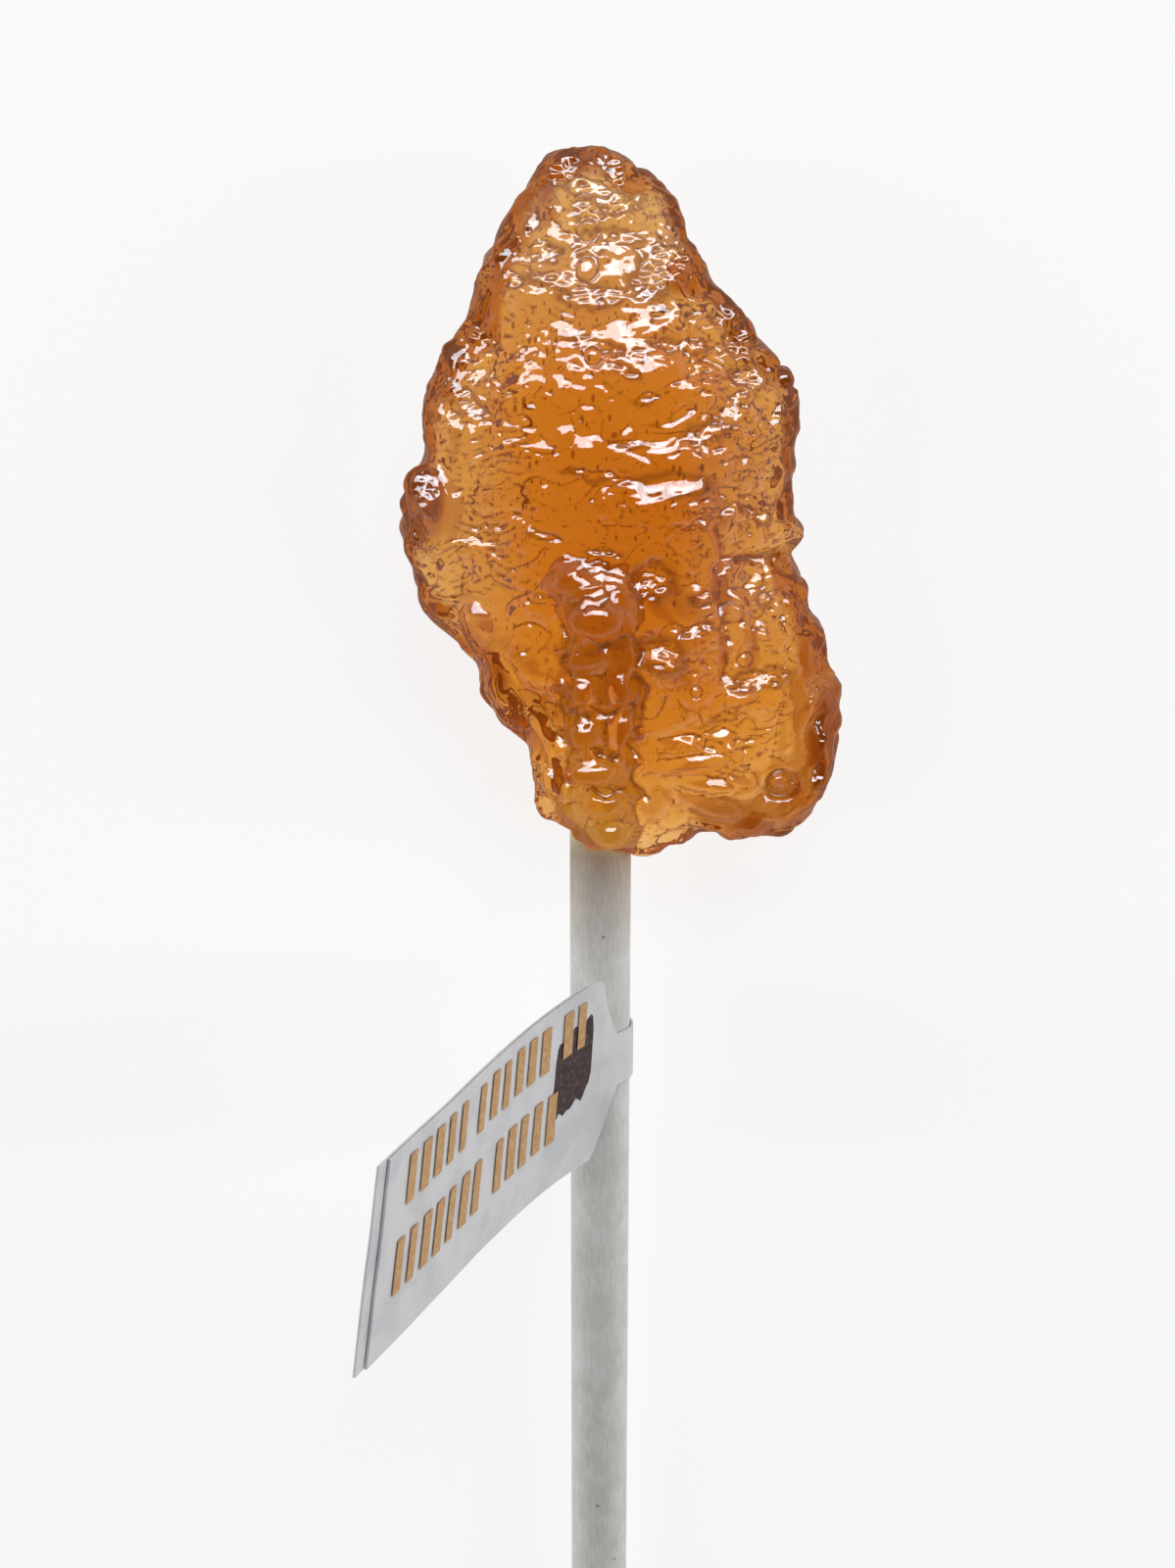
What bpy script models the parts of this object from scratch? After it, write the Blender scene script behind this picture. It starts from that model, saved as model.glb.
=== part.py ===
"""A rough amber lollipop on a rolled-paper stick, with a folded paper flag round the stick.

The lollipop lies on its back: its shown side faces +Z, its tip points to +Y and its stick to -Y.
Each piece is modelled in the lollipop's own plane first: x to the right, v along the stick
towards the tip (0 at the candy's foot) and f out of the shown side. One empty then lays the whole
thing down, so that the candy's belly and the stick's far end both touch the ground.
"""

import math

import bmesh
import bpy
import numpy as np
from mathutils import Vector, noise

MM = 0.001

# Driving dimensions, in millimetres.
STICK_DIAMETER = 4.4
STICK_LENGTH = 101.6
STICK_TOP_V = 20.2
STICK_EDGE = 0.25
STICK_SIDES = 40
CLEARANCE = 0.3
SHARP_ANGLE = math.radians(40)

CANDY_CENTRE = (1.0, 22.5)
EDGE_HALF_THICKNESS = 4.6
EDGE_SQUARENESS = 3.3
FRONT_BELLY = 2.7
BACK_BELLY = 2.2
BELLY_CENTRE = (1.5, 20.0)
BELLY_WIDTH = 8.5
BELLY_LENGTH_BELOW = 14.0
BELLY_LENGTH_ABOVE = 16.0
FLAT_DEPTH = 0.45
CANDY_DIVISIONS = 6
CANDY_TRIANGLES = 6800

LABEL_THICKNESS = 0.16
LABEL_GAP = 0.06
LABEL_V = -15.42
NECK_HEIGHT = 3.95
PADDLE_HEIGHT = 14.4
FLAG_LENGTH = 30.0
SHOULDER_LENGTH = 2.1
FLAG_LEAD = 0.67
FLAG_START_ANGLE = 42.0
FLAG_END_ANGLE = 67.0
FLAG_CURL_LENGTH = 21.0
FLAG_LEAN = (4.4, 8.6)
FLAG_DROOP = 1.4
FLAG_DROOP_LENGTH = 25.0
WRAP_END = 205.0
JOIN_REACH = 3.5
BACK_SLIP = 1.0
LINE_STEP = 0.25
LOOP_POINTS = 40
BRIDGE_POINTS = 16
PADDLE_STATIONS = 13
NECK_STATIONS = 30

# The candy's outline seen from its shown side, anticlockwise, as (x, v) points.
OUTLINE = (
    (13.7, 22.0),
    (13.0, 25.4),
    (13.2, 31.0),
    (12.3, 33.6),
    (9.6, 37.0),
    (7.3, 39.5),
    (5.9, 41.6),
    (4.7, 44.3),
    (1.9, 47.0),
    (-1.3, 47.7),
    (-3.6, 46.9),
    (-5.1, 44.8),
    (-7.7, 40.8),
    (-9.1, 36.9),
    (-11.2, 34.0),
    (-12.1, 30.6),
    (-12.0, 28.4),
    (-13.3, 26.0),
    (-13.8, 23.0),
    (-13.1, 19.8),
    (-12.2, 17.2),
    (-9.3, 14.2),
    (-8.3, 11.4),
    (-6.4, 9.1),
    (-5.3, 7.8),
    (-4.8, 4.0),
    (-3.9, 1.9),
    (-1.2, 0.2),
    (3.2, -0.4),
    (5.3, 0.1),
    (7.0, 1.1),
    (10.0, 0.7),
    (13.4, 1.1),
    (15.5, 3.0),
    (16.7, 7.2),
    (16.8, 11.0),
    (15.4, 14.4),
    (15.2, 16.6),
    (14.1, 19.2),
)

# Folds that run across the shown side: centre x, v, half length, half width, turn in degrees, height.
FRONT_FOLDS = (
    (-0.5, 43.2, 4.0, 0.9, -4, 0.5),
    (0.0, 38.6, 7.0, 1.1, 6, 0.7),
    (2.5, 33.0, 6.5, 1.0, -5, 0.5),
    (1.0, 27.8, 6.0, 1.0, -4, 0.5),
    (3.0, 24.6, 5.5, 1.2, -6, 0.6),
    (-0.8, 19.4, 5.5, 1.0, -22, 0.8),
    (5.6, 13.6, 4.0, 1.1, -24, 0.7),
    (11.4, 12.2, 3.4, 1.0, 4, 0.6),
    (-11.2, 24.6, 1.8, 2.6, 10, 0.8),
    (14.3, 7.0, 1.2, 5.0, 8, 0.6),
    (9.6, 2.6, 5.0, 1.1, -2, 0.5),
)
# Creases, given the same way with a depth.
FRONT_CREASES = (
    (9.2, 21.5, 0.6, 6.5, 4, 0.9),
    (11.6, 21.2, 2.6, 0.5, 8, 0.8),
    (-8.4, 24.0, 0.7, 6.0, -10, 0.6),
    (-3.4, 9.0, 0.6, 6.0, 5, 0.8),
    (3.3, 7.0, 0.5, 6.0, 0, 0.6),
)
# The candy that ran down over the stick, as beads given like the folds.
FRONT_BEADS = (
    (-0.1, 17.6, 2.6, 2.1, 0, 0.9),
    (-0.4, 14.3, 2.2, 1.8, 10, 0.6),
    (-0.2, 11.6, 2.1, 1.7, -10, 0.5),
    (-0.2, 8.7, 2.5, 1.8, 8, 0.9),
    (0.0, 6.0, 2.3, 1.5, -6, 0.7),
    (0.3, 3.0, 2.1, 1.9, 0, 1.0),
)
SLEEVE_RADIUS = 3.5
SLEEVE_BLEND = 0.6
# How deep into the rounded edge, as a share of the thickness, the relief and the sleeve reach full height.
RELIEF_FADE = 0.62
SLEEVE_FADE = 0.5
# The lumps of the whole surface, as pairs of a width and a height.
LUMPS = ((5.0, 0.55), (2.4, 0.28))


def stick_radius():
    return STICK_DIAMETER / 2


def lie_angle():
    """The angle between the stick and the ground."""
    belly = EDGE_HALF_THICKNESS + BACK_BELLY - FLAT_DEPTH
    rise = belly - stick_radius()
    return math.atan2(rise, BELLY_CENTRE[1] - (STICK_TOP_V - STICK_LENGTH))


def axis_height():
    """Height of the stick's axis above the ground at v = 0."""
    far_end = STICK_TOP_V - STICK_LENGTH
    angle = lie_angle()
    return stick_radius() * math.cos(angle) - far_end * math.sin(angle)


def ground_f(v):
    """The f at which the ground lies under a point of the plane at v."""
    angle = lie_angle()
    return -(axis_height() + v * math.sin(angle)) / math.cos(angle)


def smooth(value):
    value = min(1.0, max(0.0, value))
    return value * value * (3 - 2 * value)


def outline_radius():
    """A function that gives the outline's distance from the candy's centre at any angle."""
    points = [(x - CANDY_CENTRE[0], v - CANDY_CENTRE[1]) for x, v in OUTLINE]
    known = sorted((math.atan2(v, x) % math.tau, math.hypot(x, v)) for x, v in points)
    angles = [a for a, _ in known]
    radii = [r for _, r in known]
    count = len(known)

    def at(index):
        turns, place = divmod(index, count)
        return angles[place] + turns * math.tau, radii[place]

    def radius(angle):
        angle %= math.tau
        after = sum(a <= angle for a in angles)
        (a0, r0), (a1, r1), (a2, r2), (a3, r3) = (at(after + k) for k in (-2, -1, 0, 1))
        span = a2 - a1
        share = (angle - a1) / span
        slope_1 = (r2 - r0) / (a2 - a0) * span
        slope_2 = (r3 - r1) / (a3 - a1) * span
        s2, s3 = share**2, share**3
        return (
            (2 * s3 - 3 * s2 + 1) * r1
            + (s3 - 2 * s2 + share) * slope_1
            + (3 * s2 - 2 * s3) * r2
            + (s3 - s2) * slope_2
        )

    return radius


def belly(x, v):
    """How full the candy is at a point, from 0 at its thin parts to 1 at the belly."""
    across = (x - BELLY_CENTRE[0]) / BELLY_WIDTH
    along = v - BELLY_CENTRE[1]
    along /= BELLY_LENGTH_ABOVE if along > 0 else BELLY_LENGTH_BELOW
    return math.exp(-(across**2) - along**2)


def streak(x, v, place):
    """The height at (x, v) of one fold or crease, as a rounded streak."""
    centre_x, centre_v, half_length, half_width, turn, height = place
    turn = math.radians(turn)
    dx, dv = x - centre_x, v - centre_v
    along = (dx * math.cos(turn) + dv * math.sin(turn)) / half_length
    across = (dv * math.cos(turn) - dx * math.sin(turn)) / half_width
    return height * math.exp(-(along**2) - across**2)


def front_relief(x, v):
    """What folds, beads and creases add to the shown side."""
    folds = sum(streak(x, v, fold) for fold in FRONT_FOLDS + FRONT_BEADS)
    return folds - sum(streak(x, v, crease) for crease in FRONT_CREASES)


def stick_cover(x, v):
    """How far the candy round the stick stands out from the stick's axis at (x, v)."""
    high = max(0.0, min(1.0, (STICK_TOP_V + SLEEVE_RADIUS - v) / SLEEVE_RADIUS))
    radius = SLEEVE_RADIUS * math.sqrt(1 - (1 - high) ** 2)
    return math.sqrt(max(0.0, radius**2 - x**2))


def either(first, second, blend):
    """The larger of two heights, with a rounded change from one to the other."""
    return (first + second + math.hypot(first - second, blend) - blend) / 2


def lumps(point):
    """The uneven pushing in and out of the whole surface."""
    return sum(amount * noise.noise(point / size) for size, amount in LUMPS)


def candy_point(direction, radius_at):
    """The candy's surface point for a direction on a unit sphere, in millimetres."""
    level = math.hypot(direction.x, direction.y)
    scale = (level**EDGE_SQUARENESS + abs(direction.z) ** EDGE_SQUARENESS) ** (-1 / EDGE_SQUARENESS)
    angle = math.atan2(direction.y, direction.x)
    reach = radius_at(angle) * level * scale
    x = CANDY_CENTRE[0] + reach * math.cos(angle)
    v = CANDY_CENTRE[1] + reach * math.sin(angle)
    fullness = FRONT_BELLY if direction.z > 0 else BACK_BELLY
    depth = abs(direction.z) * scale
    height = depth * (EDGE_HALF_THICKNESS + fullness * belly(x, v))
    if direction.z > 0:
        height += front_relief(x, v) * smooth(depth / RELIEF_FADE)
    fade = smooth(depth / SLEEVE_FADE)
    cover = stick_cover(x, v) * fade
    height = either(height, cover, SLEEVE_BLEND * fade)
    return Vector((x, v, math.copysign(height, direction.z)))


def make_object(name, mesh, material, holder):
    made = bpy.data.objects.new(name, mesh)
    bpy.context.scene.collection.objects.link(made)
    mesh.materials.append(material)
    made.parent = holder
    return made


def make_material(name, colour, roughness):
    material = bpy.data.materials.new(name)
    material.use_nodes = True
    shader = material.node_tree.nodes["Principled BSDF"]
    shader.inputs["Base Color"].default_value = (*colour, 1)
    shader.inputs["Roughness"].default_value = roughness
    shader.inputs["Metallic"].default_value = 0
    return material


def stick_rod(name, radius, low_v, high_v, edge, holder, material):
    """A round rod along v with bevelled ends."""
    shape = bmesh.new()
    bmesh.ops.create_cone(
        shape,
        cap_ends=True,
        segments=STICK_SIDES,
        radius1=radius * MM,
        radius2=radius * MM,
        depth=(high_v - low_v) * MM,
    )
    mesh = bpy.data.meshes.new(name)
    shape.to_mesh(mesh)
    shape.free()
    rod = make_object(name, mesh, material, holder)
    rod.rotation_euler = (math.radians(-90), 0, 0)
    rod.location = (0, (low_v + high_v) / 2 * MM, 0)
    if edge:
        bevel = rod.modifiers.new("rounded ends", "BEVEL")
        bevel.width = edge * MM
        bevel.segments = 2
        bevel.limit_method = "ANGLE"
        bevel.angle_limit = SHARP_ANGLE
    mesh.shade_smooth()
    mesh.set_sharp_from_angle(angle=SHARP_ANGLE)
    return rod


def candy(holder, material):
    """The boiled-sugar body, bored for the stick."""
    shape = bmesh.new()
    bmesh.ops.create_icosphere(shape, subdivisions=CANDY_DIVISIONS, radius=1.0)
    radius_at = outline_radius()
    for vertex in shape.verts:
        vertex.co = candy_point(vertex.co.normalized(), radius_at)
    shape.normal_update()
    for vertex, normal in [(v, v.normal.copy()) for v in shape.verts]:
        vertex.co += normal * lumps(vertex.co)
    for vertex in shape.verts:
        vertex.co.z = max(vertex.co.z, ground_f(vertex.co.y))
        vertex.co *= MM
    mesh = bpy.data.meshes.new("candy")
    shape.to_mesh(mesh)
    shape.free()
    body = make_object("candy", mesh, material, holder)
    coarser = body.modifiers.new("fewer faces", "DECIMATE")
    coarser.ratio = CANDY_TRIANGLES / len(mesh.polygons)
    bore = stick_rod(
        "bore",
        stick_radius() + CLEARANCE,
        STICK_TOP_V - STICK_LENGTH / 2,
        STICK_TOP_V + CLEARANCE,
        0,
        holder,
        material,
    )
    bore.hide_render = True
    bore.display_type = "WIRE"
    cut = body.modifiers.new("bore for the stick", "BOOLEAN")
    cut.operation = "DIFFERENCE"
    cut.solver = "EXACT"
    cut.object = bore
    mesh.shade_smooth()
    return body


def flag_angle(reach):
    """How steeply the flag rises towards +f at a distance from its shoulder, in radians."""
    left = max(0.0, 1 - reach / FLAG_CURL_LENGTH)
    return math.radians(FLAG_END_ANGLE + (FLAG_START_ANGLE - FLAG_END_ANGLE) * left**2)


def turned(angle):
    return np.array((math.cos(angle), math.sin(angle)))


def flag_line(length):
    """Points (x, f) along the middle of the glued flag, with the side on which its front lies."""
    angle = flag_angle(0)
    point = turned(math.pi / 2 - angle) * loop_radius()
    point += turned(math.pi - angle) * FLAG_LEAD
    points, fronts = [], []
    for k in range(int(length / LINE_STEP) + 1):
        angle = flag_angle(k * LINE_STEP)
        points.append(point.copy())
        fronts.append(turned(math.pi / 2 - angle))
        point += turned(math.pi - angle) * LINE_STEP
    return np.array(points), np.array(fronts)


def loop_radius():
    """Radius of the neck's centre line round the stick."""
    return stick_radius() + CLEARANCE + LABEL_THICKNESS / 2


def blend(start, leaving, finish, arriving, count):
    """Points of a smooth curve between two points with given directions."""
    size = np.linalg.norm(finish - start)
    s = np.linspace(0, 1, count)[:, None]
    return (
        (2 * s**3 - 3 * s**2 + 1) * start
        + (s**3 - 2 * s**2 + s) * leaving * size
        + (3 * s**2 - 2 * s**3) * finish
        + (s**3 - s**2) * arriving * size
    )


def label_line():
    """The label's centre line from its front free end round the stick to its rear free end.

    Each point comes with its reach, which is its distance out along the flag.
    """
    apart = (LABEL_THICKNESS + LABEL_GAP) / 2
    points, fronts = flag_line(FLAG_LENGTH)
    front = (points + fronts * apart)[::-1]
    reach_front = np.arange(len(front))[::-1] * LINE_STEP
    turns = np.linspace(math.pi / 2 - flag_angle(0), -math.radians(WRAP_END), LOOP_POINTS)
    loop = np.array([turned(turn) for turn in turns]) * loop_radius()
    points, fronts = flag_line(FLAG_LENGTH + BACK_SLIP)
    joined = int(JOIN_REACH / LINE_STEP)
    rear = (points - fronts * apart)[joined:]
    arriving = turned(math.pi - flag_angle(JOIN_REACH))
    leaving = turned(turns[-1] - math.pi / 2)
    bridge = blend(loop[-1], leaving, rear[0], arriving, BRIDGE_POINTS)[1:-1]
    reach_bridge = np.linspace(0, JOIN_REACH, BRIDGE_POINTS)[1:-1]
    reach_rear = np.arange(joined, len(points)) * LINE_STEP
    line = np.concatenate((front, loop, bridge, rear))
    reach = np.concatenate((reach_front, np.zeros(len(loop)), reach_bridge, reach_rear))
    return line, reach


def label_half_height(length_from_end):
    """Half the label's height at a length from its free end: a paddle, a shoulder, then the neck."""
    share = (length_from_end - (FLAG_LENGTH - SHOULDER_LENGTH)) / SHOULDER_LENGTH
    share = min(1.0, max(0.0, share))
    return (PADDLE_HEIGHT + (NECK_HEIGHT - PADDLE_HEIGHT) * share) / 2


def label_stations():
    """The whole label as stations: middle point, face normal, up vector and half height."""
    line, reach = label_line()
    run = np.concatenate(([0.0], np.cumsum(np.linalg.norm(np.diff(line, axis=0), axis=1))))
    total = run[-1]
    paddle = np.linspace(0, FLAG_LENGTH - SHOULDER_LENGTH, PADDLE_STATIONS)
    neck = np.linspace(FLAG_LENGTH, total - FLAG_LENGTH, NECK_STATIONS)
    stations = []
    for stop in np.concatenate((paddle, neck, total - paddle[::-1])):
        x, f, out = (np.interp(stop, run, column) for column in (line[:, 0], line[:, 1], reach))
        before, after = max(0.0, stop - LINE_STEP), min(total, stop + LINE_STEP)
        across, forward = (np.interp((before, after), run, line[:, k]) for k in (0, 1))
        tangent = Vector((across[1] - across[0], 0, forward[1] - forward[0])).normalized()
        normal = Vector((-tangent.z, 0, tangent.x))
        lean = math.radians(FLAG_LEAN[0] + (FLAG_LEAN[1] - FLAG_LEAN[0]) * out / FLAG_LENGTH)
        lean *= smooth(out / SHOULDER_LENGTH)
        leaning = turned(math.pi / 2 - flag_angle(out)) * math.sin(lean)
        up = Vector((leaning[0], math.cos(lean), leaning[1]))
        droop = FLAG_DROOP * (1 - max(0.0, 1 - out / FLAG_DROOP_LENGTH) ** 2)
        middle = Vector((x, LABEL_V - droop, f))
        stations.append((middle, normal, up, label_half_height(min(stop, total - stop))))
    return stations


def label(holder, material):
    """The folded label as one thin strip, closed all round."""
    shape = bmesh.new()
    rows = []
    for middle, normal, up, half in label_stations():
        faces = []
        for side in (-0.5, 0.5):
            shift = normal * (LABEL_THICKNESS * side)
            row = [(middle + up * (half * w) + shift) * MM for w in (-1, 0, 1)]
            faces.append([shape.verts.new(point) for point in row])
        rows.append(faces[0] + faces[1][::-1])
    count = len(rows[0])
    for first, second in zip(rows, rows[1:]):
        for k in range(count):
            after = (k + 1) % count
            shape.faces.new((first[k], first[after], second[after], second[k]))
    shape.faces.new(rows[0][::-1])
    shape.faces.new(rows[-1])
    bmesh.ops.recalc_face_normals(shape, faces=shape.faces)
    mesh = bpy.data.meshes.new("label")
    shape.to_mesh(mesh)
    shape.free()
    mesh.shade_smooth()
    mesh.set_sharp_from_angle(angle=SHARP_ANGLE)
    return make_object("label", mesh, material, holder)


def world_points(piece, graph):
    """Every vertex of a piece as it ends up, in world space."""
    seen = piece.evaluated_get(graph)
    points = [seen.matrix_world @ vertex.co for vertex in seen.to_mesh().vertices]
    seen.to_mesh_clear()
    return points


def lay_down(holder):
    """Turns the holder so that the lollipop lies on the ground, centred on the origin."""
    holder.rotation_euler = (lie_angle(), 0, 0)
    bpy.context.view_layer.update()
    graph = bpy.context.evaluated_depsgraph_get()
    pieces = [piece for piece in holder.children if not piece.hide_render]
    points = np.concatenate([world_points(piece, graph) for piece in pieces])
    low, high = points.min(axis=0), points.max(axis=0)
    middle = (low + high) / 2
    holder.location = (-middle[0], -middle[1], -low[2])


def main():
    for old in list(bpy.data.objects):
        bpy.data.objects.remove(old)
    amber = make_material("amber_candy", (0.76, 0.36, 0.05), 0.08)
    paper = make_material("rolled_paper", (0.80, 0.79, 0.75), 0.75)
    card = make_material("label_paper", (0.86, 0.87, 0.89), 0.45)
    holder = bpy.data.objects.new("lollipop", None)
    bpy.context.scene.collection.objects.link(holder)
    candy(holder, amber)
    stick_rod(
        "stick",
        stick_radius(),
        STICK_TOP_V - STICK_LENGTH,
        STICK_TOP_V,
        STICK_EDGE,
        holder,
        paper,
    )
    label(holder, card)
    lay_down(holder)


main()
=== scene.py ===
"""The lollipop's looks: clear amber candy, rolled-paper stick and folded label, lying on a pale floor."""

import math
import random

import bmesh
import bpy
import numpy as np
from mathutils import Matrix, Vector, bvhtree, kdtree, noise


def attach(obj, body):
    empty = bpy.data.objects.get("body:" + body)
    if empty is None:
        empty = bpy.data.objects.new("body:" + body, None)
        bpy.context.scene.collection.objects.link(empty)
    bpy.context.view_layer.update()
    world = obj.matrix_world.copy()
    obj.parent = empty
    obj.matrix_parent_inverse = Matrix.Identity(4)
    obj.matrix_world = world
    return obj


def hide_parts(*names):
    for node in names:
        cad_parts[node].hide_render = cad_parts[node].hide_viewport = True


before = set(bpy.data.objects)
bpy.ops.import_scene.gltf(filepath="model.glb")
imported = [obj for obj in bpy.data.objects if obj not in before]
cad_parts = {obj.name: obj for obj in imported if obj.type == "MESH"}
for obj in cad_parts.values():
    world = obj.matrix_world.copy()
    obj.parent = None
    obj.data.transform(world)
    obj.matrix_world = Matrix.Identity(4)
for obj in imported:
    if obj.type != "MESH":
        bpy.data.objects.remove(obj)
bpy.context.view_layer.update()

# Sizes and places are in the lollipop's own millimetres unless said otherwise: x to the right, v along the
# stick and f out of its face. Numbers in tables named BY_V or BY_X are (place, value) rows. Numbers named
# WAVES are noise's wave lengths along the three axes, and where in the noise it starts.
MM = 0.001
SEED = 7

# The photograph's frame and its camera: lens in pixels, place, slant and nearest sight in metres.
PHOTO_HEIGHT_PX = 1600
FOCAL_PX = 1731
SENSOR_MM = 36
CAMERA_X = -0.93
CAMERA_V = 36.04
CAMERA_F = 116.65
CAMERA_SLANT = math.radians(15)
CAMERA_NEAR = 0.005

STICK_RADIUS = 2.2
STICK_TOP_V = 20.2
STICK_LENGTH = 101.6

# The candy's mesh: its voxels and rounds of smoothing, and from which slope it counts as its shown side.
BASE_VOXEL = 0.3
BASE_SMOOTHING = 12
VOXEL = 0.235
BLOCK_SMOOTHING = 6
FRONT_SMOOTHING = 3
FRONT_START = -0.1
FRONT_FADE = 0.4
ABOVE_FACE = 40
# What fills its bore.
PLUG_RADIUS = 3.0
PLUG_START_V = 1.2
PLUG_SIDES = 32
# How far it stays above the ground, in metres.
FLOOR_GAP = 0.00002

# What the candy takes out of white light for each metre: density times one minus this colour.
CANDY_TINT = (0.868, 0.640, 0.08, 1)
CANDY_DENSITY = 400
# What its shadow keeps of a lamp's light.
SHADE_TINT = (0.8, 0.66, 0.45, 1)
# A faint painted glow that the sugar gives off everywhere, standing in for the little light it scatters, so
# that long ways through it end brown, not black.
PAINTED_GLOW = (0.090, 0.030, 0.003, 1)
# The haze near its tip and at its sides, which tints the sugar and gives off a painted glow: the light it
# adds, its tint, and where it lies.
HAZE_PAINTED_LIGHT = (0.018, 0.026, 0.032)
PAINTED_GLOW_WITH_HAZE = (*(glow + haze_and_glow for glow, haze_and_glow in zip(PAINTED_GLOW[:3], HAZE_PAINTED_LIGHT)), 1)
HAZE_AND_GLOW_TINT = (0.86, 0.93, 1.0, 1)
HAZE_BY_V = ((32, 0), (39, 1))
HAZE_BY_X = ((4.5, 0), (8, 0.7))
HAZE_SIDES_BY_V = ((12, 0), (18, 1))
# Painted shade where light crosses its surface: round its rim, in creases, in specks and in named patches.
CLEAR = (1, 1, 1, 1)
RIM_PAINTED_SHADE = (0.38, 0.125, 0.025, 1)
CREASE_PAINTED_SHADE = (0.16, 0.05, 0.015, 1)
SPECK_PAINTED_SHADE = (0.24, 0.09, 0.025, 1)
PAINTED_SHADE_TINT = (0.42, 0.17, 0.05, 1)
# The rim: its width, how uneven that is, how far it fades, and the grid that finds the outline.
RIM_WIDTH = 1.7
RIM_UNEVEN = 1.1
RIM_WAVES = ((3.0, 3.0, 3.0),)
RIM_FADE = 1.0
OUTLINE_CELL = 0.3
# Painted shade in creases: curvature from which it shows and at which it is full, in 1/mm.
CREASE_START = 1.0
CREASE_FULL = 3.4
# Painted shade as specks, standing in for small pits that show dark through the sugar: their slant in
# radians, cells for each millimetre, size, and least share of it below a range of v.
SPECK_SLANT = (0, 0, 0.5)
SPECK_SCALE = (2.6, 1.1, 1.2)
CROWD_SCALE = (0.25, 0.25, 0.25)
SPECK_SIZE = 0.64
SPECK_LEAST = 0.5
SPECK_RISE = (8, 24)
# Painted shade patches where the sugar shows dark at facets, lines and thick rims: x, v, half width, half
# length, turn in degrees, strength.
PAINTED_SHADE_PATCHES = (
    (-0.9, 46.1, 1.6, 1.0, 0, 1.0),
    (-3.9, 43.4, 1.2, 1.9, -30, 1.0),
    (-6.3, 40.6, 0.6, 1.7, -20, 0.7),
    (-7.7, 37.4, 0.6, 1.8, -15, 0.7),
    (-9.8, 34.2, 0.7, 1.6, -30, 0.6),
    (4.9, 42.6, 0.9, 2.6, 30, 0.8),
    (7.6, 38.6, 0.8, 2.0, 40, 0.7),
    (10.0, 35.9, 0.8, 1.6, 45, 0.6),
    (12.2, 31.6, 0.7, 2.2, 20, 0.6),
    (12.5, 27.0, 0.8, 3.0, 0, 0.7),
    (-12.0, 24.6, 1.4, 3.1, 0, 0.85),
    (10.4, 3.0, 5.2, 1.0, -8, 0.5),
    (15.5, 8.6, 1.1, 5.0, 0, 1.0),
    (-2.5, 11.5, 0.3, 6.0, 4, 0.8),
    (2.5, 11.0, 0.3, 5.5, -3, 0.7),
    (0.3, 15.9, 1.7, 0.3, 5, 0.8),
    (3.9, 18.6, 0.5, 1.6, 50, 0.7),
    (8.1, 19.6, 0.5, 5.6, 0, 1.0),
    (10.3, 21.3, 2.6, 0.35, 5, 0.9),
    (5.3, 18.9, 1.3, 0.6, -20, 0.6),
    (9.9, 15.6, 0.5, 1.5, 0, 0.7),
    (5.2, 13.6, 0.8, 0.6, 20, 0.5),
    (-4.1, 12.0, 0.7, 2.2, 35, 0.7),
    (6.1, 7.4, 1.8, 0.5, 30, 0.7),
    (4.0, 4.4, 1.0, 1.1, 0, 0.5),
    (12.3, 5.9, 1.0, 1.2, 0, 0.7),
    (-8.6, 18.3, 0.6, 1.8, 30, 0.5),
    (-5.9, 15.2, 0.5, 2.0, 60, 0.5),
    (-9.6, 28.6, 0.5, 1.6, -20, 0.5),
    (-6.3, 31.0, 0.4, 1.2, 30, 0.4),
    (9.6, 27.4, 0.5, 1.4, 20, 0.4),
    (-5.3, 34.5, 0.9, 0.4, 30, 0.8),
)
# Places where the painted shade of its rim stays off, given as the painted shade patches are.
CLEAR_PLACES = (
    (-5.6, 4.5, 2.6, 4.2, 0, 1.0),
    (4.2, 1.2, 3.6, 2.0, 0, 0.8),
    (-8.2, 12.0, 1.5, 3.0, 30, 0.5),
)
# How far the outlines of painted shade patches and of facets wander, and how long their waves are.
PATCH_WARP = (0.7, 1.6)
FACET_WARP = (0.35, 0.8)

# How much its shown side rises by v above the solid's, before the lumps.
PROFILE_BY_V = ((0, 0), (5, 0), (13, 0.9), (20, 0.5), (29, 1.4), (36, 1.1), (41, 0.7), (46, 0), (48, 0))
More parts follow.
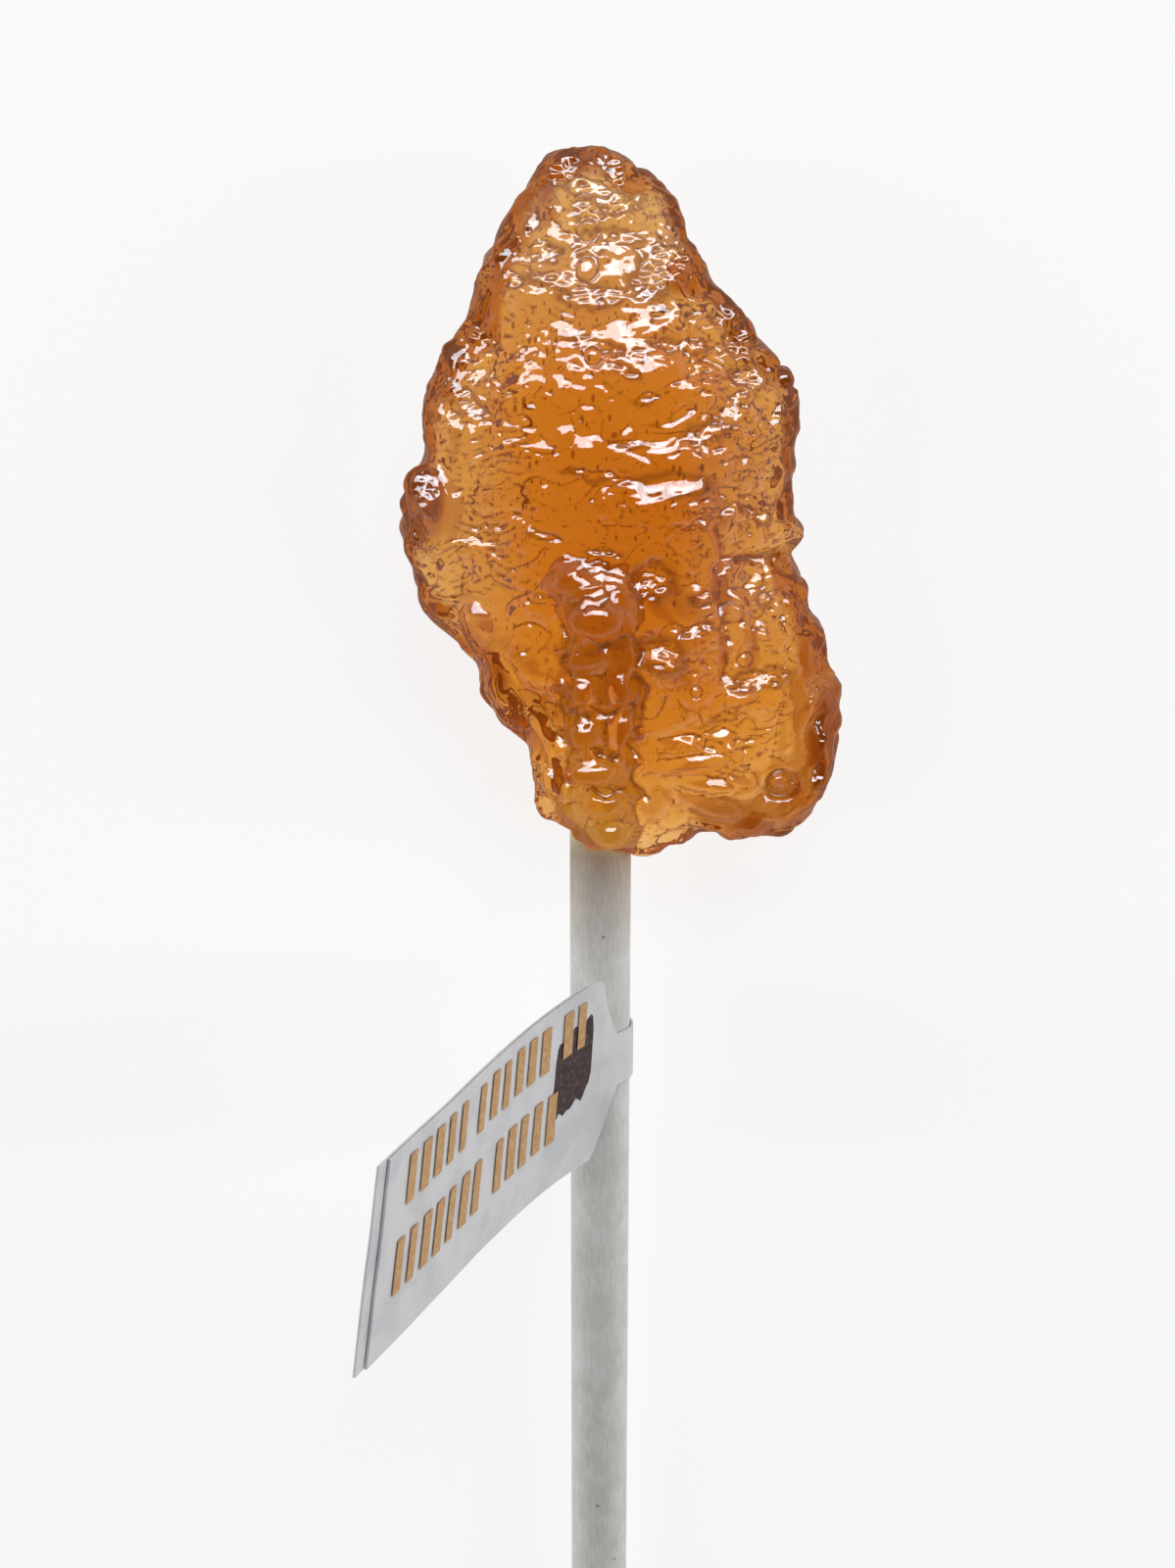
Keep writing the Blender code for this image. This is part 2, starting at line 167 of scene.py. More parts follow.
# Lumps on its shown side: x, v, half width, half length, turn in degrees, rise above the surface.
FRONT_LUMPS = (
    (-0.4, 17.9, 2.3, 1.7, 0, 1.3),
    (-0.9, 15.4, 1.9, 1.2, 10, 0.9),
    (-1.4, 12.9, 1.3, 1.4, -15, 1.0),
    (1.2, 13.2, 1.0, 1.6, 8, 0.8),
    (-1.1, 9.9, 1.5, 1.5, 10, 1.3),
    (1.4, 10.2, 1.1, 1.7, -8, 1.0),
    (-0.6, 7.2, 2.0, 1.1, 5, 1.3),
    (0.1, 4.8, 1.8, 1.3, 0, 1.3),
    (0.6, 2.3, 1.5, 1.3, 0, 1.3),
    (3.6, 4.6, 1.4, 1.9, 0, 0.6),
    (4.9, 3.2, 1.2, 1.2, 0, 0.5),
    (-11.3, 25.2, 1.7, 2.6, 10, 0.7),
    (-4.2, 10.6, 0.7, 2.4, 30, 0.5),
    (-6.2, 9.4, 0.8, 1.8, 35, 0.5),
    (-6.6, 13.2, 1.2, 2.4, 25, 0.5),
    (2.9, 8.2, 0.9, 1.5, -10, 0.5),
    (6.3, 19.3, 1.3, 0.7, 5, 0.5),
    (8.9, 18.3, 1.0, 1.1, 0, 0.6),
    (13.6, 10.7, 0.6, 1.4, -5, 0.5),
    (7.0, 7.4, 1.8, 0.7, 15, 0.5),
    (12.0, 6.4, 1.1, 1.1, 30, 0.6),
    (11.4, 4.4, 1.0, 0.7, 10, 0.5),
    (7.4, 4.4, 2.6, 0.8, -20, 0.8),
    (6.0, 7.6, 3.0, 0.7, 8, 0.7),
    (6.9, 6.0, 2.4, 0.6, -10, 0.7),
    (-3.2, 5.9, 1.0, 1.3, 0, 0.7),
    (-7.9, 17.2, 1.7, 2.3, 25, 0.6),
    (-6.2, 10.8, 1.0, 1.6, 35, 0.7),
    (14.0, 11.3, 0.6, 1.2, -5, 0.6),
    (9.3, 12.2, 1.2, 0.6, 20, 0.5),
    (6.2, 12.4, 1.3, 1.0, -20, 0.5),
)
# How thick a lump is for its smaller half width.
LUMP_THICKNESS = 1.1
# The thick rounded rim at the foot's right: x, v, radius along its way, in beads.
RIM_PATH = (
    (13.7, 13.2, 1.2),
    (14.6, 10.4, 1.7),
    (14.9, 7.6, 1.8),
    (14.3, 5.2, 1.8),
    (12.7, 3.7, 1.7),
    (10.2, 3.3, 1.5),
    (7.4, 3.8, 1.1),
)
RIM_STEPS = 6
# Its height f, and how deep it is for its width.
RIM_F = 0.8
RIM_DEPTH = 1.9
# Small corrections of its outline: x, v and how far a place moves along x and v, and their reach.
OUTLINE_SHIFTS = (
    (-8.8, 13.6, 0.4, 0.2),
    (-5.8, 8.8, 0.45, 0.55),
    (-5.0, 5.3, 0.4, 0),
    (-4.4, 3.4, 0.2, 0.1),
    (-2.9, 1.8, 0, 0.8),
    (10.8, 35.5, -0.35, -0.25),
    (7.6, 39.2, -0.35, -0.25),
    (13.1, 30.5, -0.2, 0),
    (13.0, 28.4, -0.55, 0),
    (13.3, 22.9, 0.75, 0),
    (13.3, 20.9, -0.85, 0),
    (14.6, 17.6, -0.45, 0),
    (15.2, 15.7, 0.3, 0),
    (-11.3, 33.6, 0.45, 0),
    (-13.6, 23.6, 0.2, 0),
    (-11.9, 29.7, -0.3, 0),
    (-12.7, 27.0, -0.15, 0),
    (1.4, 47.0, 0, -0.35),
    (4.3, 44.7, 0.3, 0),
    (12.7, 32.4, 0.35, 0),
    (2.5, 46.5, -0.1, -0.2),
    (-3.8, 46.5, -0.1, 0.2),
    (2.8, 0.0, 0, -0.3),
    (6.4, 0.9, 0, -0.5),
    (8.6, 1.6, 0, -0.15),
    (16.8, 7.3, -0.2, 0),
    (11.9, 1.5, 0, 0.35),
    (-6.7, 42.2, 0.2, 0),
)
SHIFT_REACH = 1.1

# How far round a lump its surface stays calm, for its size, and how far that fades.
CALM_REACH = 1.25
LUMP_FADE = 0.3
BEAD_FADE = 0.4
# How much of the rim's painted shade and calm the thick rim has all over.
BEAD_RIM = 0.6
BEAD_CALM = 0.5
# How much the rim, lumps, pitted facets and facets calm the relief, and what they do to folds and streaks.
RIM_STILLS = 0.7
CALM_STILLS = 0.85
LACE_STILLS = 0.5
FACET_STILLS = 0.8
RIM_FLATTENS = 0.5
CALM_FLATTENS = 0.7
RIM_CLEARS = 0.6
# How rough the surface is.
ROUGH_BY_X = ((3.5, 0.8), (6.5, 1.7))
ROUGH_BY_V = ((0, 0.45), (34, 0.45), (38, 0.6), (48, 0.6))
# The relief's mean height, and the share below which a kind of relief is left out.
MEAN_HEIGHT = 0.12
LEAST_SHARE = 0.02
# Creased domes: how steep they are on the shown side and on the back.
DOME_WAVES = ((2.4, 2.2, 2.4), 71)
DOMES_FRONT_BY_V = ((0, 0.8), (14, 0.8), (24, 0.3), (48, 0.3))
DOMES_BACK = 0.55
DOME_MEAN = 0.2
# Fine ridges, which bend, in patches.
RIDGE_WAVES = ((2.3, 1.0, 1.6),)
RIDGE_HEIGHT = 0.20
RIDGE_STEEPNESS = 3.2
BEND_WAVES = ((4.0, 4.0, 4.0), 9)
RIDGE_BEND = 1.6
PATCH_WAVES = ((5.5, 3.0, 6.0), 31)
PATCH_SHIFT = 0.12
PATCH_STEEPNESS = 3
# Soft swells and fine grain.
SWELL_WAVES = ((2.6, 1.8, 2.2), 57)
SWELL_HEIGHT = 0.20
GRAIN_WAVES = ((0.9, 0.6, 0.8), 83)
GRAIN_BACK = 0.03
GRAIN_FRONT = 0.09
# Streaks and knots round the rim, which runs round a middle.
STREAK_WAVES = ((3.0, 0.30, 0.8),)
STREAK_HEIGHT = 0.05
KNOT_WAVES = ((2.0, 2.0, 2.4), 17)
KNOT_HEIGHT = 0.5
KNOT_MEAN = 0.3
RIM_CENTRE_V = 24
RIM_CENTRE_REACH = 14
# Crowded pits, by cell, and the bump of ripples that are finer than the mesh.
LACE_CELL = (0.85, 0.50, 0.7)
LACE_DEPTH = 0.20
LACE_WALL = 0.7
RIPPLE_SCALE = (1.6, 2.4, 1.6)
RIPPLE_HEIGHT = 0.012
# Ridges and grooves on its shown side: where they start and end as (x, v), half width and height.
FOLDS = (
    ((6.3, 40.0), (11.3, 33.5), 0.7, 0.35),
    ((-9.2, 36.0), (-6.4, 42.0), 0.7, 0.35),
    ((-7.5, 12.5), (-3.2, 6.5), 0.8, 0.45),
    ((8.0, 26.0), (8.2, 13.8), 0.5, -0.80),
    ((7.7, 21.1), (12.6, 21.9), 0.4, -0.70),
    ((-2.9, 17.5), (-2.4, 13.8), 0.40, -0.70),
    ((-2.4, 13.8), (-3.1, 9.8), 0.40, -0.70),
    ((-3.1, 9.8), (-2.3, 6.0), 0.40, -0.70),
    ((2.3, 16.5), (3.1, 12.0), 0.40, -0.60),
    ((3.1, 12.0), (2.1, 8.5), 0.40, -0.60),
    ((2.1, 8.5), (2.9, 5.0), 0.40, -0.60),
    ((-2.3, 16.4), (1.6, 16.5), 0.30, -0.35),
    ((-2.3, 11.4), (2.2, 11.9), 0.30, -0.35),
    ((-2.4, 8.4), (2.2, 8.3), 0.30, -0.35),
    ((-2.0, 5.7), (2.3, 6.0), 0.30, -0.35),
)
# How far folds reach for their half width, how they sway, and how high they are where they break up.
FOLD_REACH = 4
FOLD_SWAY = 0.7
SWAY_WAVES = ((1.7, 1, 1),)
FOLD_MEAN = 0.75
FOLD_BREAK = 0.7
BREAK_WAVES = ((0.9, 1, 1), 5)
NOISE_PLACES = 9
# Facets that face the light: x, v, half width, half length, turn in degrees, and 1 where pits fill them.
FACETS = (
    (-2.4, 46.0, 1.4, 0.8, 45, 1),
    (0.8, 45.9, 1.2, 0.6, -50, 1),
    (-1.0, 44.7, 1.6, 0.6, -15, 1),
    (-0.8, 43.3, 1.0, 0.8, 0, 1),
    (1.2, 43.7, 1.5, 0.7, 10, 1),
    (-4.5, 42.7, 0.3, 0.8, -20, 1),
    (-0.8, 41.2, 1.0, 0.9, 0, 1),
    (0.9, 41.7, 1.6, 0.5, -10, 1),
    (-3.6, 40.9, 1.1, 0.6, 0, 1),
    (3.7, 39.7, 2.1, 1.5, 30, 1),
    (1.2, 38.2, 1.7, 0.5, 15, 1),
    (-5.8, 39.2, 0.9, 0.5, 0, 1),
    (-2.4, 38.9, 2.4, 0.5, -8, 1),
    (-1.2, 37.9, 1.6, 0.5, -10, 1),
    (-7.7, 35.5, 1.1, 0.5, -30, 1),
    (7.7, 36.9, 0.9, 0.5, 0, 1),
    (-0.3, 35.1, 2.1, 0.35, -12, 1),
    (1.3, 33.6, 1.0, 0.3, -20, 1),
    (5.0, 35.1, 1.8, 0.4, -10, 1),
    (2.2, 34.5, 0.9, 0.4, 20, 1),
    (8.7, 35.2, 0.8, 1.0, 40, 1),
    (9.5, 33.1, 1.3, 0.6, -20, 1),
    (8.8, 32.0, 0.6, 0.35, 0, 1),
    (2.8, 31.7, 0.8, 0.35, 15, 1),
    (-8.9, 31.7, 1.7, 0.6, -35, 1),
    (6.7, 29.8, 1.5, 0.6, 10, 1),
    (1.5, 29.0, 1.1, 0.35, -5, 1),
    (0.0, 27.0, 2.4, 0.28, -8, 1),
    (4.6, 26.5, 2.5, 0.7, -4, 0),
    (-11.4, 25.6, 0.9, 1.3, 0, 1),
    (-12.3, 23.4, 0.6, 0.9, 0, 1),
    (14.5, 12.4, 0.5, 0.7, 0, 1),
    (15.2, 9.6, 0.4, 1.1, 0, 1),
    (14.8, 6.2, 0.5, 0.8, 0, 1),
    (12.6, 5.6, 0.6, 0.5, 0, 0),
    (-3.8, 23.2, 1.0, 0.3, -15, 1),
    (0.1, 22.2, 1.2, 0.25, 0, 1),
    (-0.4, 21.4, 1.0, 0.35, -5, 1),
    (3.3, 20.3, 1.5, 1.2, 0, 1),
    (-0.6, 19.2, 1.3, 0.22, 12, 0),
    (4.0, 15.4, 1.6, 1.2, -20, 1),
    (5.9, 17.0, 1.1, 0.35, 15, 1),
    (6.6, 19.2, 1.0, 0.5, 5, 1),
    (10.7, 18.9, 0.6, 0.7, 20, 1),
    (10.8, 13.5, 2.0, 0.75, 5, 1),
    (8.4, 11.0, 1.0, 0.35, 25, 1),
    (-1.2, 11.0, 0.6, 0.35, 20, 0),
    (10.0, 24.4, 1.2, 0.3, -30, 1),
    (6.4, 24.1, 0.8, 0.25, 20, 1),
)
# The slope that faces the light, how far a facet may turn to it, and how dark the painted shade along its
# outline is.
FACET_TILT = math.radians(21)
FACET_TURN_MOST = 0.55
FACET_OUTLINE_SHADE = 0.85
# Rings, which are smooth blisters in a moat: x, v, radius; and how high, wide and deep for their radius.
RINGS = (
    (-0.9, 42.1, 0.75),
    (-1.0, 39.8, 0.72),
    (-0.6, 34.5, 0.6),
    (9.6, 14.8, 0.5),
    (8.7, 18.0, 0.85),
    (12.3, 33.2, 0.8),
    (6.3, 12.9, 0.4),
    (12.3, 5.9, 0.95),
)
RING_DOME = 0.30
RING_DOME_REACH = 0.75
RING_MOAT = 0.22
RING_MOAT_WIDTH = 0.25
# Small pits (-1) and blisters (1), on the shown side and on the back: the slope there, signs, number, and the
# ranges of half length, slimness and steepness, with the mean and spread of their turn in radians.
SPOT_KINDS = (
    (0.15, (-1, 1, 1), 2600, (0.2, 0.5), (0.4, 0.75), (0.3, 0.55), (0, 0.4)),
    (-0.3, (-1,), 350, (0.5, 1.0), (0.4, 0.7), (0.2, 0.42), (1.2, 0.5)),
)
SPOT_REACH = 1.5
SPOT_STEEPNESS = 1.4

# The label, as a strip of paper folded round the stick. Its turns are in degrees.
LABEL_THICKNESS = 0.16
LABEL_GAP = 0.06
LABEL_V = -15.42
NECK_HEIGHT = 3.95
PADDLE_HEIGHT = 14.4
FLAG_LENGTH = 30.0
SHOULDER_LENGTH = 2.1
NECK_FILLET = 0.1
FLAG_LEAD = 0.67
FLAG_START_ANGLE = 42.0
FLAG_END_ANGLE = 67.0
FLAG_CURL_LENGTH = 21.0
FLAG_LEAN = (4.4, 8.6)
FLAG_DROOP = 1.4
FLAG_DROOP_LENGTH = 25.0
LOOP_GAP = 0.1
LOOP_RADIUS = STICK_RADIUS + LOOP_GAP + LABEL_THICKNESS / 2
WRAP_END = 205.0
JOIN_REACH = 3.5
BACK_SLIP = 1.0
LINE_STEP = 0.25
LOOP_POINTS = 40
BRIDGE_POINTS = 16
SHEET_STEP = 0.4
SHEET_ROWS = 22
LABEL_RIPPLE = 0.06
LABEL_RIPPLE_START = 6.0
SHARP_ANGLE = math.radians(40)
# Its print: rows as (lowest and highest height, groups), groups as (where they start on the flag, bars).
PRINT_ROWS = (
    ((2.9, 6.3), ((2.6, 5), (12.2, 6), (23.6, 2))),
    ((-3.3, 0.6), ((2.0, 7), (15.4, 5))),
)
BAR_WIDTH = 0.95
BAR_PITCH = 1.72
# How uneven the bars are in width and height, and how finely their meshes are cut along and across.
BAR_UNEVEN = (0.85, 1.2)
BAR_RISE = 0.1
BAR_SHARES = (0, 1 / 3, 2 / 3, 1)
BAR_ROWS = 4
# The field: its run, its height, how far it slants, how uneven its two sides are, and how square it is.
DARK_FIELD = ((22.9, 27.2), (-1.6, 4.6))
FIELD_SLANT = 1.0
FIELD_WOBBLE = 0.5
FIELD_SIDES = (0, 5)
FIELD_SQUARENESS = 6
FIELD_ENDS = 0.55
FIELD_STEPS = 24
FIELD_ROWS = 12
INK_THICKNESS = 0.01
INK_LIFT = 0.09

# Patterns in waves for each millimetre, and reliefs in metres.
NOISE_ROUGHNESS = 0.55
FIBRE_SCALE = (5.0, 0.9, 5.0)
FIBRE_RELIEF = 0.00003
MOTTLE_SCALE = (0.55, 0.35, 0.55)
BLOTCH_SCALE = (0.7, 0.5, 0.7)
SMUDGE_SCALE = (0.35, 0.28, 0.35)
SCUFF_SCALE = (2.2, 1.2, 2.2)
SCUFF_RELIEF = 0.00004
WEAR_SCALE = (4.5, 2.5, 4.5)
STICK_DARK = (0.56, 0.55, 0.525, 1)
STICK_LIGHT = (0.69, 0.68, 0.66, 1)
STICK_SPECK = (0.25, 0.22, 0.20, 1)
STICK_SPECK_SCALE = 0.42
# The rolled layers that show at its cut end: their thickness, tone, and how deep they are drawn.
STICK_LAYER = 0.2
SPIRAL_DARK = (0.55, 0.52, 0.48, 1)
END_DEPTH = 0.02
# The tint of its soaked part, with painted shade where it enters the candy and the candy's shadow falls,
# painted light that brightens it inside the candy, most at its end, and the blotches inside.
SOAK_SHADE_AND_LIGHT_BY_V = (
    (-8.0, CLEAR),
    (0.0, (0.66, 0.55, 0.44, 1)),
    (2.5, (1.36, 1.38, 0.85, 1)),
    (15.5, (1.36, 1.38, 0.85, 1)),
    (STICK_TOP_V, (1.53, 1.58, 1.36, 1)),
)
SOAK_START = (0.0, 2.5)
SOAK_BLOTCH = (0.85, 0.80, 0.6, 1)
LABEL_WHITE = (0.675, 0.675, 0.69, 1)
LABEL_SMUDGE = (0.60, 0.60, 0.625, 1)
LABEL_SHINY = (0.38, 0.38, 0.38, 1)
LABEL_DULL = (0.6, 0.6, 0.6, 1)
TAN_INK = (0.52, 0.28, 0.11, 1)
TAN_INK_WORN = (0.64, 0.42, 0.20, 1)
DARK_INK = (0.035, 0.02, 0.02, 1)
DARK_INK_WORN = (0.11, 0.07, 0.065, 1)

# The floor, in metres; its glow is what the candy shows lit from behind.
FLOOR_HALF = 12
FLOOR_GLOW = 0.82
FLOOR_GREY = (0.2, 0.2, 0.2, 1)
# The room's brightness by the sine of its elevation: what mirrors see below, a pale backdrop, a dark ceiling.
ROOM_LIGHT = (
    (-0.12, (0.28, 0.24, 0.23, 1)),
    (-0.06, (0.83, 0.83, 0.83, 1)),
    (0.12, (0.80, 0.80, 0.80, 1)),
    (0.50, (0.12, 0.12, 0.12, 1)),
    (0.70, (0.02, 0.02, 0.02, 1)),
)
# Soft boxes, in metres from the candy's middle: place, width, height and radiance.
LIGHT_TARGET = (1, 22, 0)
KEY_LIGHT = ((0.05, 0.36, 0.36), 0.26, 0.14, 7.5)
SHINE_LIGHT = ((0.0, 0.34, 0.38), 0.75, 0.24, 15)
SHINE_COLOUR = (0.8, 0.9, 1)
LEFT_LIGHT = ((-0.5, 0, 0.17), 0.1, 0.6, 7)
RIGHT_LIGHT = ((0.5, 0, 0.17), 0.1, 0.6, 7)
# How often light may bounce or pass through: clear candy with a stick inside takes many crossings.
BOUNCES = 24
CROSSINGS = 20
REFLECTIONS = 8


# ---------------- places


def stick_ends():
    """The stick's far end and its top end, on its axis, in metres."""
    points = np.array([v.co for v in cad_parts["stick"].data.vertices])
    along = points[:, 1]
    far = points[along < along.min() + MM].mean(axis=0)
    top = points[along > along.max() - MM].mean(axis=0)
    return Vector(far), Vector(top)


FAR_END, TOP_END = stick_ends()
ALONG = (TOP_END - FAR_END).normalized()
RIGHT = Vector((1, 0, 0))
OUT = RIGHT.cross(ALONG)
# To the row frame from the lollipop's own millimetres: x to the right, v along the stick, f out of its face.
TO_ROW = Matrix.Translation(TOP_END - ALONG * (STICK_TOP_V * MM))
TO_ROW @= Matrix((RIGHT, ALONG, OUT)).transposed().to_4x4() @ Matrix.Scale(MM, 4)
TO_OWN = TO_ROW.inverted()


def place(x, v, f):
    """A place given in the lollipop's own millimetres, in the row frame."""
    return TO_ROW @ Vector((x, v, f))


def smooth(value):
    """A step from 0 to 1 that starts and ends softly."""
    value = np.clip(value, 0.0, 1.0)
    return value * value * (3 - 2 * value)


def read_off(table, values):
    """Values read off a table of (place, value) rows, with straight lines between the rows."""
    return np.interp(values, *zip(*table))


def add_object(name, data):
    """A new object in the scene."""
    thing = bpy.data.objects.new(name, data)
    bpy.context.scene.collection.objects.link(thing)
    return thing


def add_piece(name, mesh, material, body="root"):
    """A new piece of the lollipop from a mesh in its own millimetres."""
    mesh.transform(TO_ROW)
    mesh.name = name
    piece = add_object(name, mesh)
    mesh.materials.clear()
    mesh.materials.append(material)
    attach(piece, body)
    return piece


# ---------------- shader helpers


def new_material(name):
    """A material with its node tree and its main shader."""
    material = bpy.data.materials.new(name)
    material.use_nodes = True
    tree = material.node_tree
    return material, tree, tree.nodes["Principled BSDF"]


def feed(tree, socket, value):
    """Gives an input its value, or links it where the value is another node's output."""
    if isinstance(value, bpy.types.NodeSocket):
        tree.links.new(value, socket)
    else:
        socket.default_value = value


def fill(tree, node, **values):
    """Sets a node's properties and inputs by name, with underscores for an input's spaces."""
    for key, value in values.items():
        if hasattr(node, key):
            setattr(node, key, value)
        else:
            feed(tree, node.inputs[key.replace("_", " ")], value)


def add_node(tree, kind, **values):
    """A new node, filled with values."""
    node = tree.nodes.new(kind)
    fill(tree, node, **values)
    return node


def own_coordinates(tree):
    """The lollipop's own millimetres as a shader vector: x, v and f."""
    mapping = add_node(
        tree,
        "ShaderNodeMapping",
        vector_type="TEXTURE",
        Vector=add_node(tree, "ShaderNodeTexCoord").outputs["Object"],
        Location=TO_ROW.translation,
        Rotation=TO_ROW.to_euler(),
        Scale=(MM, MM, MM),
    )
    return mapping.outputs["Vector"]


def axes(tree, vector):
    """The three parts of a shader vector."""
    return add_node(tree, "ShaderNodeSeparateXYZ", Vector=vector).outputs


def scaled_noise(tree, own, scale, detail):
    """Noise with its own scale along x, v and f, in waves for each millimetre."""
    mapping = add_node(tree, "ShaderNodeMapping", Vector=own, Scale=scale)
    texture = add_node(
        tree,
        "ShaderNodeTexNoise",
        Vector=mapping.outputs["Vector"],
        Scale=1.0,
        Detail=detail,
        Roughness=NOISE_ROUGHNESS,
    )
    return texture.outputs["Fac"]


def stored(tree, name):
    """A share that is stored at the mesh's points."""
    return add_node(tree, "ShaderNodeAttribute", attribute_name=name).outputs["Fac"]


def maths(tree, operation, first, second):
    """The result of a maths node; each side is a socket or a number."""
    node = add_node(tree, "ShaderNodeMath", operation=operation)
    feed(tree, node.inputs[0], first)
    feed(tree, node.inputs[1], second)
    return node.outputs["Value"]


def spread(tree, value, low, high, least=0.0):
    """How far a value is from low to high, as a share from least to 1."""
    node = add_node(tree, "ShaderNodeMapRange", Value=value, From_Min=low, From_Max=high, To_Min=least)
    return node.outputs["Result"]


def ramp(tree, value, stops):
    """A colour that runs through stops of (value, colour)."""
    low, high = stops[0][0], stops[-1][0]
    node = add_node(tree, "ShaderNodeValToRGB", Fac=spread(tree, value, low, high))
    elements = node.color_ramp.elements
    elements[0].color, elements[1].color = stops[0][1], stops[-1][1]
    for stop, colour in stops[1:-1]:
        elements.new((stop - low) / (high - low)).color = colour
    return node.outputs["Color"]


def mixed(tree, share, first, second, blend="MIX"):
    """Two colours mixed by a share."""
    node = add_node(tree, "ShaderNodeMix", data_type="RGBA", blend_type=blend, Factor=share)
    feed(tree, node.inputs[6], first)
    feed(tree, node.inputs[7], second)
    return node.outputs[2]


def tinted(tree, colour, *tints):
    """A colour multiplied by tints."""
    for tint in tints:
        colour = mixed(tree, 1, colour, tint, "MULTIPLY")
    return colour


def bumped(tree, height, strength, distance):
    """A normal that makes a smooth surface look as if it had fine relief."""
    node = add_node(tree, "ShaderNodeBump", Height=height, Strength=strength, Distance=distance)
    return node.outputs["Normal"]


# ---------------- mesh helpers


def finished(shape, name):
    """The mesh of a bmesh that is ready."""
    mesh = bpy.data.meshes.new(name)
    shape.to_mesh(mesh)
    shape.free()
    return mesh


def joined(shape, mesh):
    """Moves a mesh into a bmesh."""
    shape.from_mesh(mesh)
    bpy.data.meshes.remove(mesh)


def remeshed(shape, voxel):
    """The union of all closed shells in a bmesh, as one closed mesh of even faces."""
    mesh = finished(shape, "block")
    block = add_object("block", mesh)
    remesh = block.modifiers.new("even faces", "REMESH")
    remesh.mode = "VOXEL"
    remesh.voxel_size = voxel
    graph = bpy.context.evaluated_depsgraph_get()
    fine = bpy.data.meshes.new_from_object(block.evaluated_get(graph))
    bpy.data.objects.remove(block)
    bpy.data.meshes.remove(mesh)
    return fine


def point_vectors(mesh, name):
    """A vector for each point of a mesh: its place, named "co", or its "normal"."""
    vectors = np.empty(len(mesh.vertices) * 3, np.float32)
    mesh.vertices.foreach_get(name, vectors)
    return vectors.reshape(-1, 3).astype(float)


def set_points(mesh, points):
    """Moves all points of a mesh to new places."""
    mesh.vertices.foreach_set("co", points.astype(np.float32).ravel())
    mesh.update()


def store(mesh, name, values):
    """Stores a share at each point of a mesh, for its material."""
    attribute = mesh.attributes.new(name, "FLOAT", "POINT")
    attribute.data.foreach_set("value", values.astype(np.float32))


def neighbour_means(mesh, points):
    """For each point, the mean of its neighbours and how far they are from it on average."""
    edges = np.empty(len(mesh.edges) * 2, np.int32)
    mesh.edges.foreach_get("vertices", edges)
    first, second = edges.reshape(-1, 2).T
    count = len(points)
    degree = np.bincount(first, minlength=count) + np.bincount(second, minlength=count)
    total = np.empty_like(points)
    for axis in range(3):
        total[:, axis] = np.bincount(first, points[second, axis], count)
        total[:, axis] += np.bincount(second, points[first, axis], count)
    length = np.linalg.norm(points[first] - points[second], axis=1)
    spacing = np.bincount(first, length, count) + np.bincount(second, length, count)
    return total / degree[:, None], spacing / degree


def smooth_mesh(mesh, rounds):
    """Moves points towards the mean of their neighbours, so that flat facets round off."""
    points = point_vectors(mesh, "co")
    for _ in range(rounds):
        points = (points + neighbour_means(mesh, points)[0]) / 2
    set_points(mesh, points)


def waves(points, lengths, start=0.0):
    """Soft noise at each point, between -1 and 1, with its own wave length along each axis."""
    spots = points / lengths
    spots[:, 2] += start
    return np.array([noise.noise(Vector(spot)) for spot in spots])


def warped(points, reach, length):
    """The points pushed about by up to a reach, so that outlines drawn on them are ragged."""
    return points + reach * np.array([noise.noise_vector(Vector(point) / length) for point in points])


def ellipse_reach(points, x, v, half_x, half_v, turn=0.0):
    """How far each point is from an ellipse's middle, where 1 is its outline."""
    dx, dv = points[:, 0] - x, points[:, 1] - v
    cos, sin = math.cos(math.radians(turn)), math.sin(math.radians(turn))
    return np.hypot((dx * cos + dv * sin) / half_x, (dv * cos - dx * sin) / half_v)


# ---------------- the candy's body


def on_front(normals):
    """1 on the shown side, fading to 0 where the surface turns to the back."""
    return np.clip((normals[:, 2] - FRONT_START) / FRONT_FADE, 0, 1)


def add_ellipsoid(shape, centre, radii, turn=0.0):
    """A closed ellipsoid, turned in the plane of the face by a number of degrees."""
    matrix = Matrix.Translation(centre) @ Matrix.Rotation(math.radians(turn), 4, "Z")
    matrix @= Matrix.Diagonal((*radii, 1))
    bmesh.ops.create_icosphere(shape, subdivisions=4, radius=1, matrix=matrix)


def front_height(tree, x, v):
    """Height of the candy's shown side at (x, v), or of its edge where (x, v) is just outside."""
    hit, _, _, _ = tree.ray_cast(Vector((x, v, ABOVE_FACE)), Vector((0, 0, -1)))
    return hit.z if hit else 0.0


def rim_beads():
    """Close beads that merge into the thick rim at the foot: x, v and radius."""
    path = np.array(RIM_PATH)
    steps = np.linspace(0, len(path) - 1, (len(path) - 1) * RIM_STEPS + 1)
    return np.column_stack([np.interp(steps, range(len(path)), column) for column in path.T])


def candy_base():
    """The CAD candy as an even mesh in its own millimetres, with its bore filled and its face raised."""
    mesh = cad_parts["candy"].data.copy()
    mesh.transform(TO_OWN)
    shape = bmesh.new()
    joined(shape, mesh)
    matrix = Matrix.Translation((0, STICK_TOP_V / 2 + PLUG_START_V, 0))
    matrix @= Matrix.Rotation(math.radians(90), 4, "X")
    plug = {"radius1": PLUG_RADIUS, "radius2": PLUG_RADIUS, "depth": STICK_TOP_V, "matrix": matrix}
    bmesh.ops.create_cone(shape, cap_ends=True, segments=PLUG_SIDES, **plug)
    base = remeshed(shape, BASE_VOXEL)
    points = point_vectors(base, "co")
    points[:, 2] += read_off(PROFILE_BY_V, points[:, 1]) * on_front(point_vectors(base, "normal"))
    set_points(base, points)
    smooth_mesh(base, BASE_SMOOTHING)
    return base


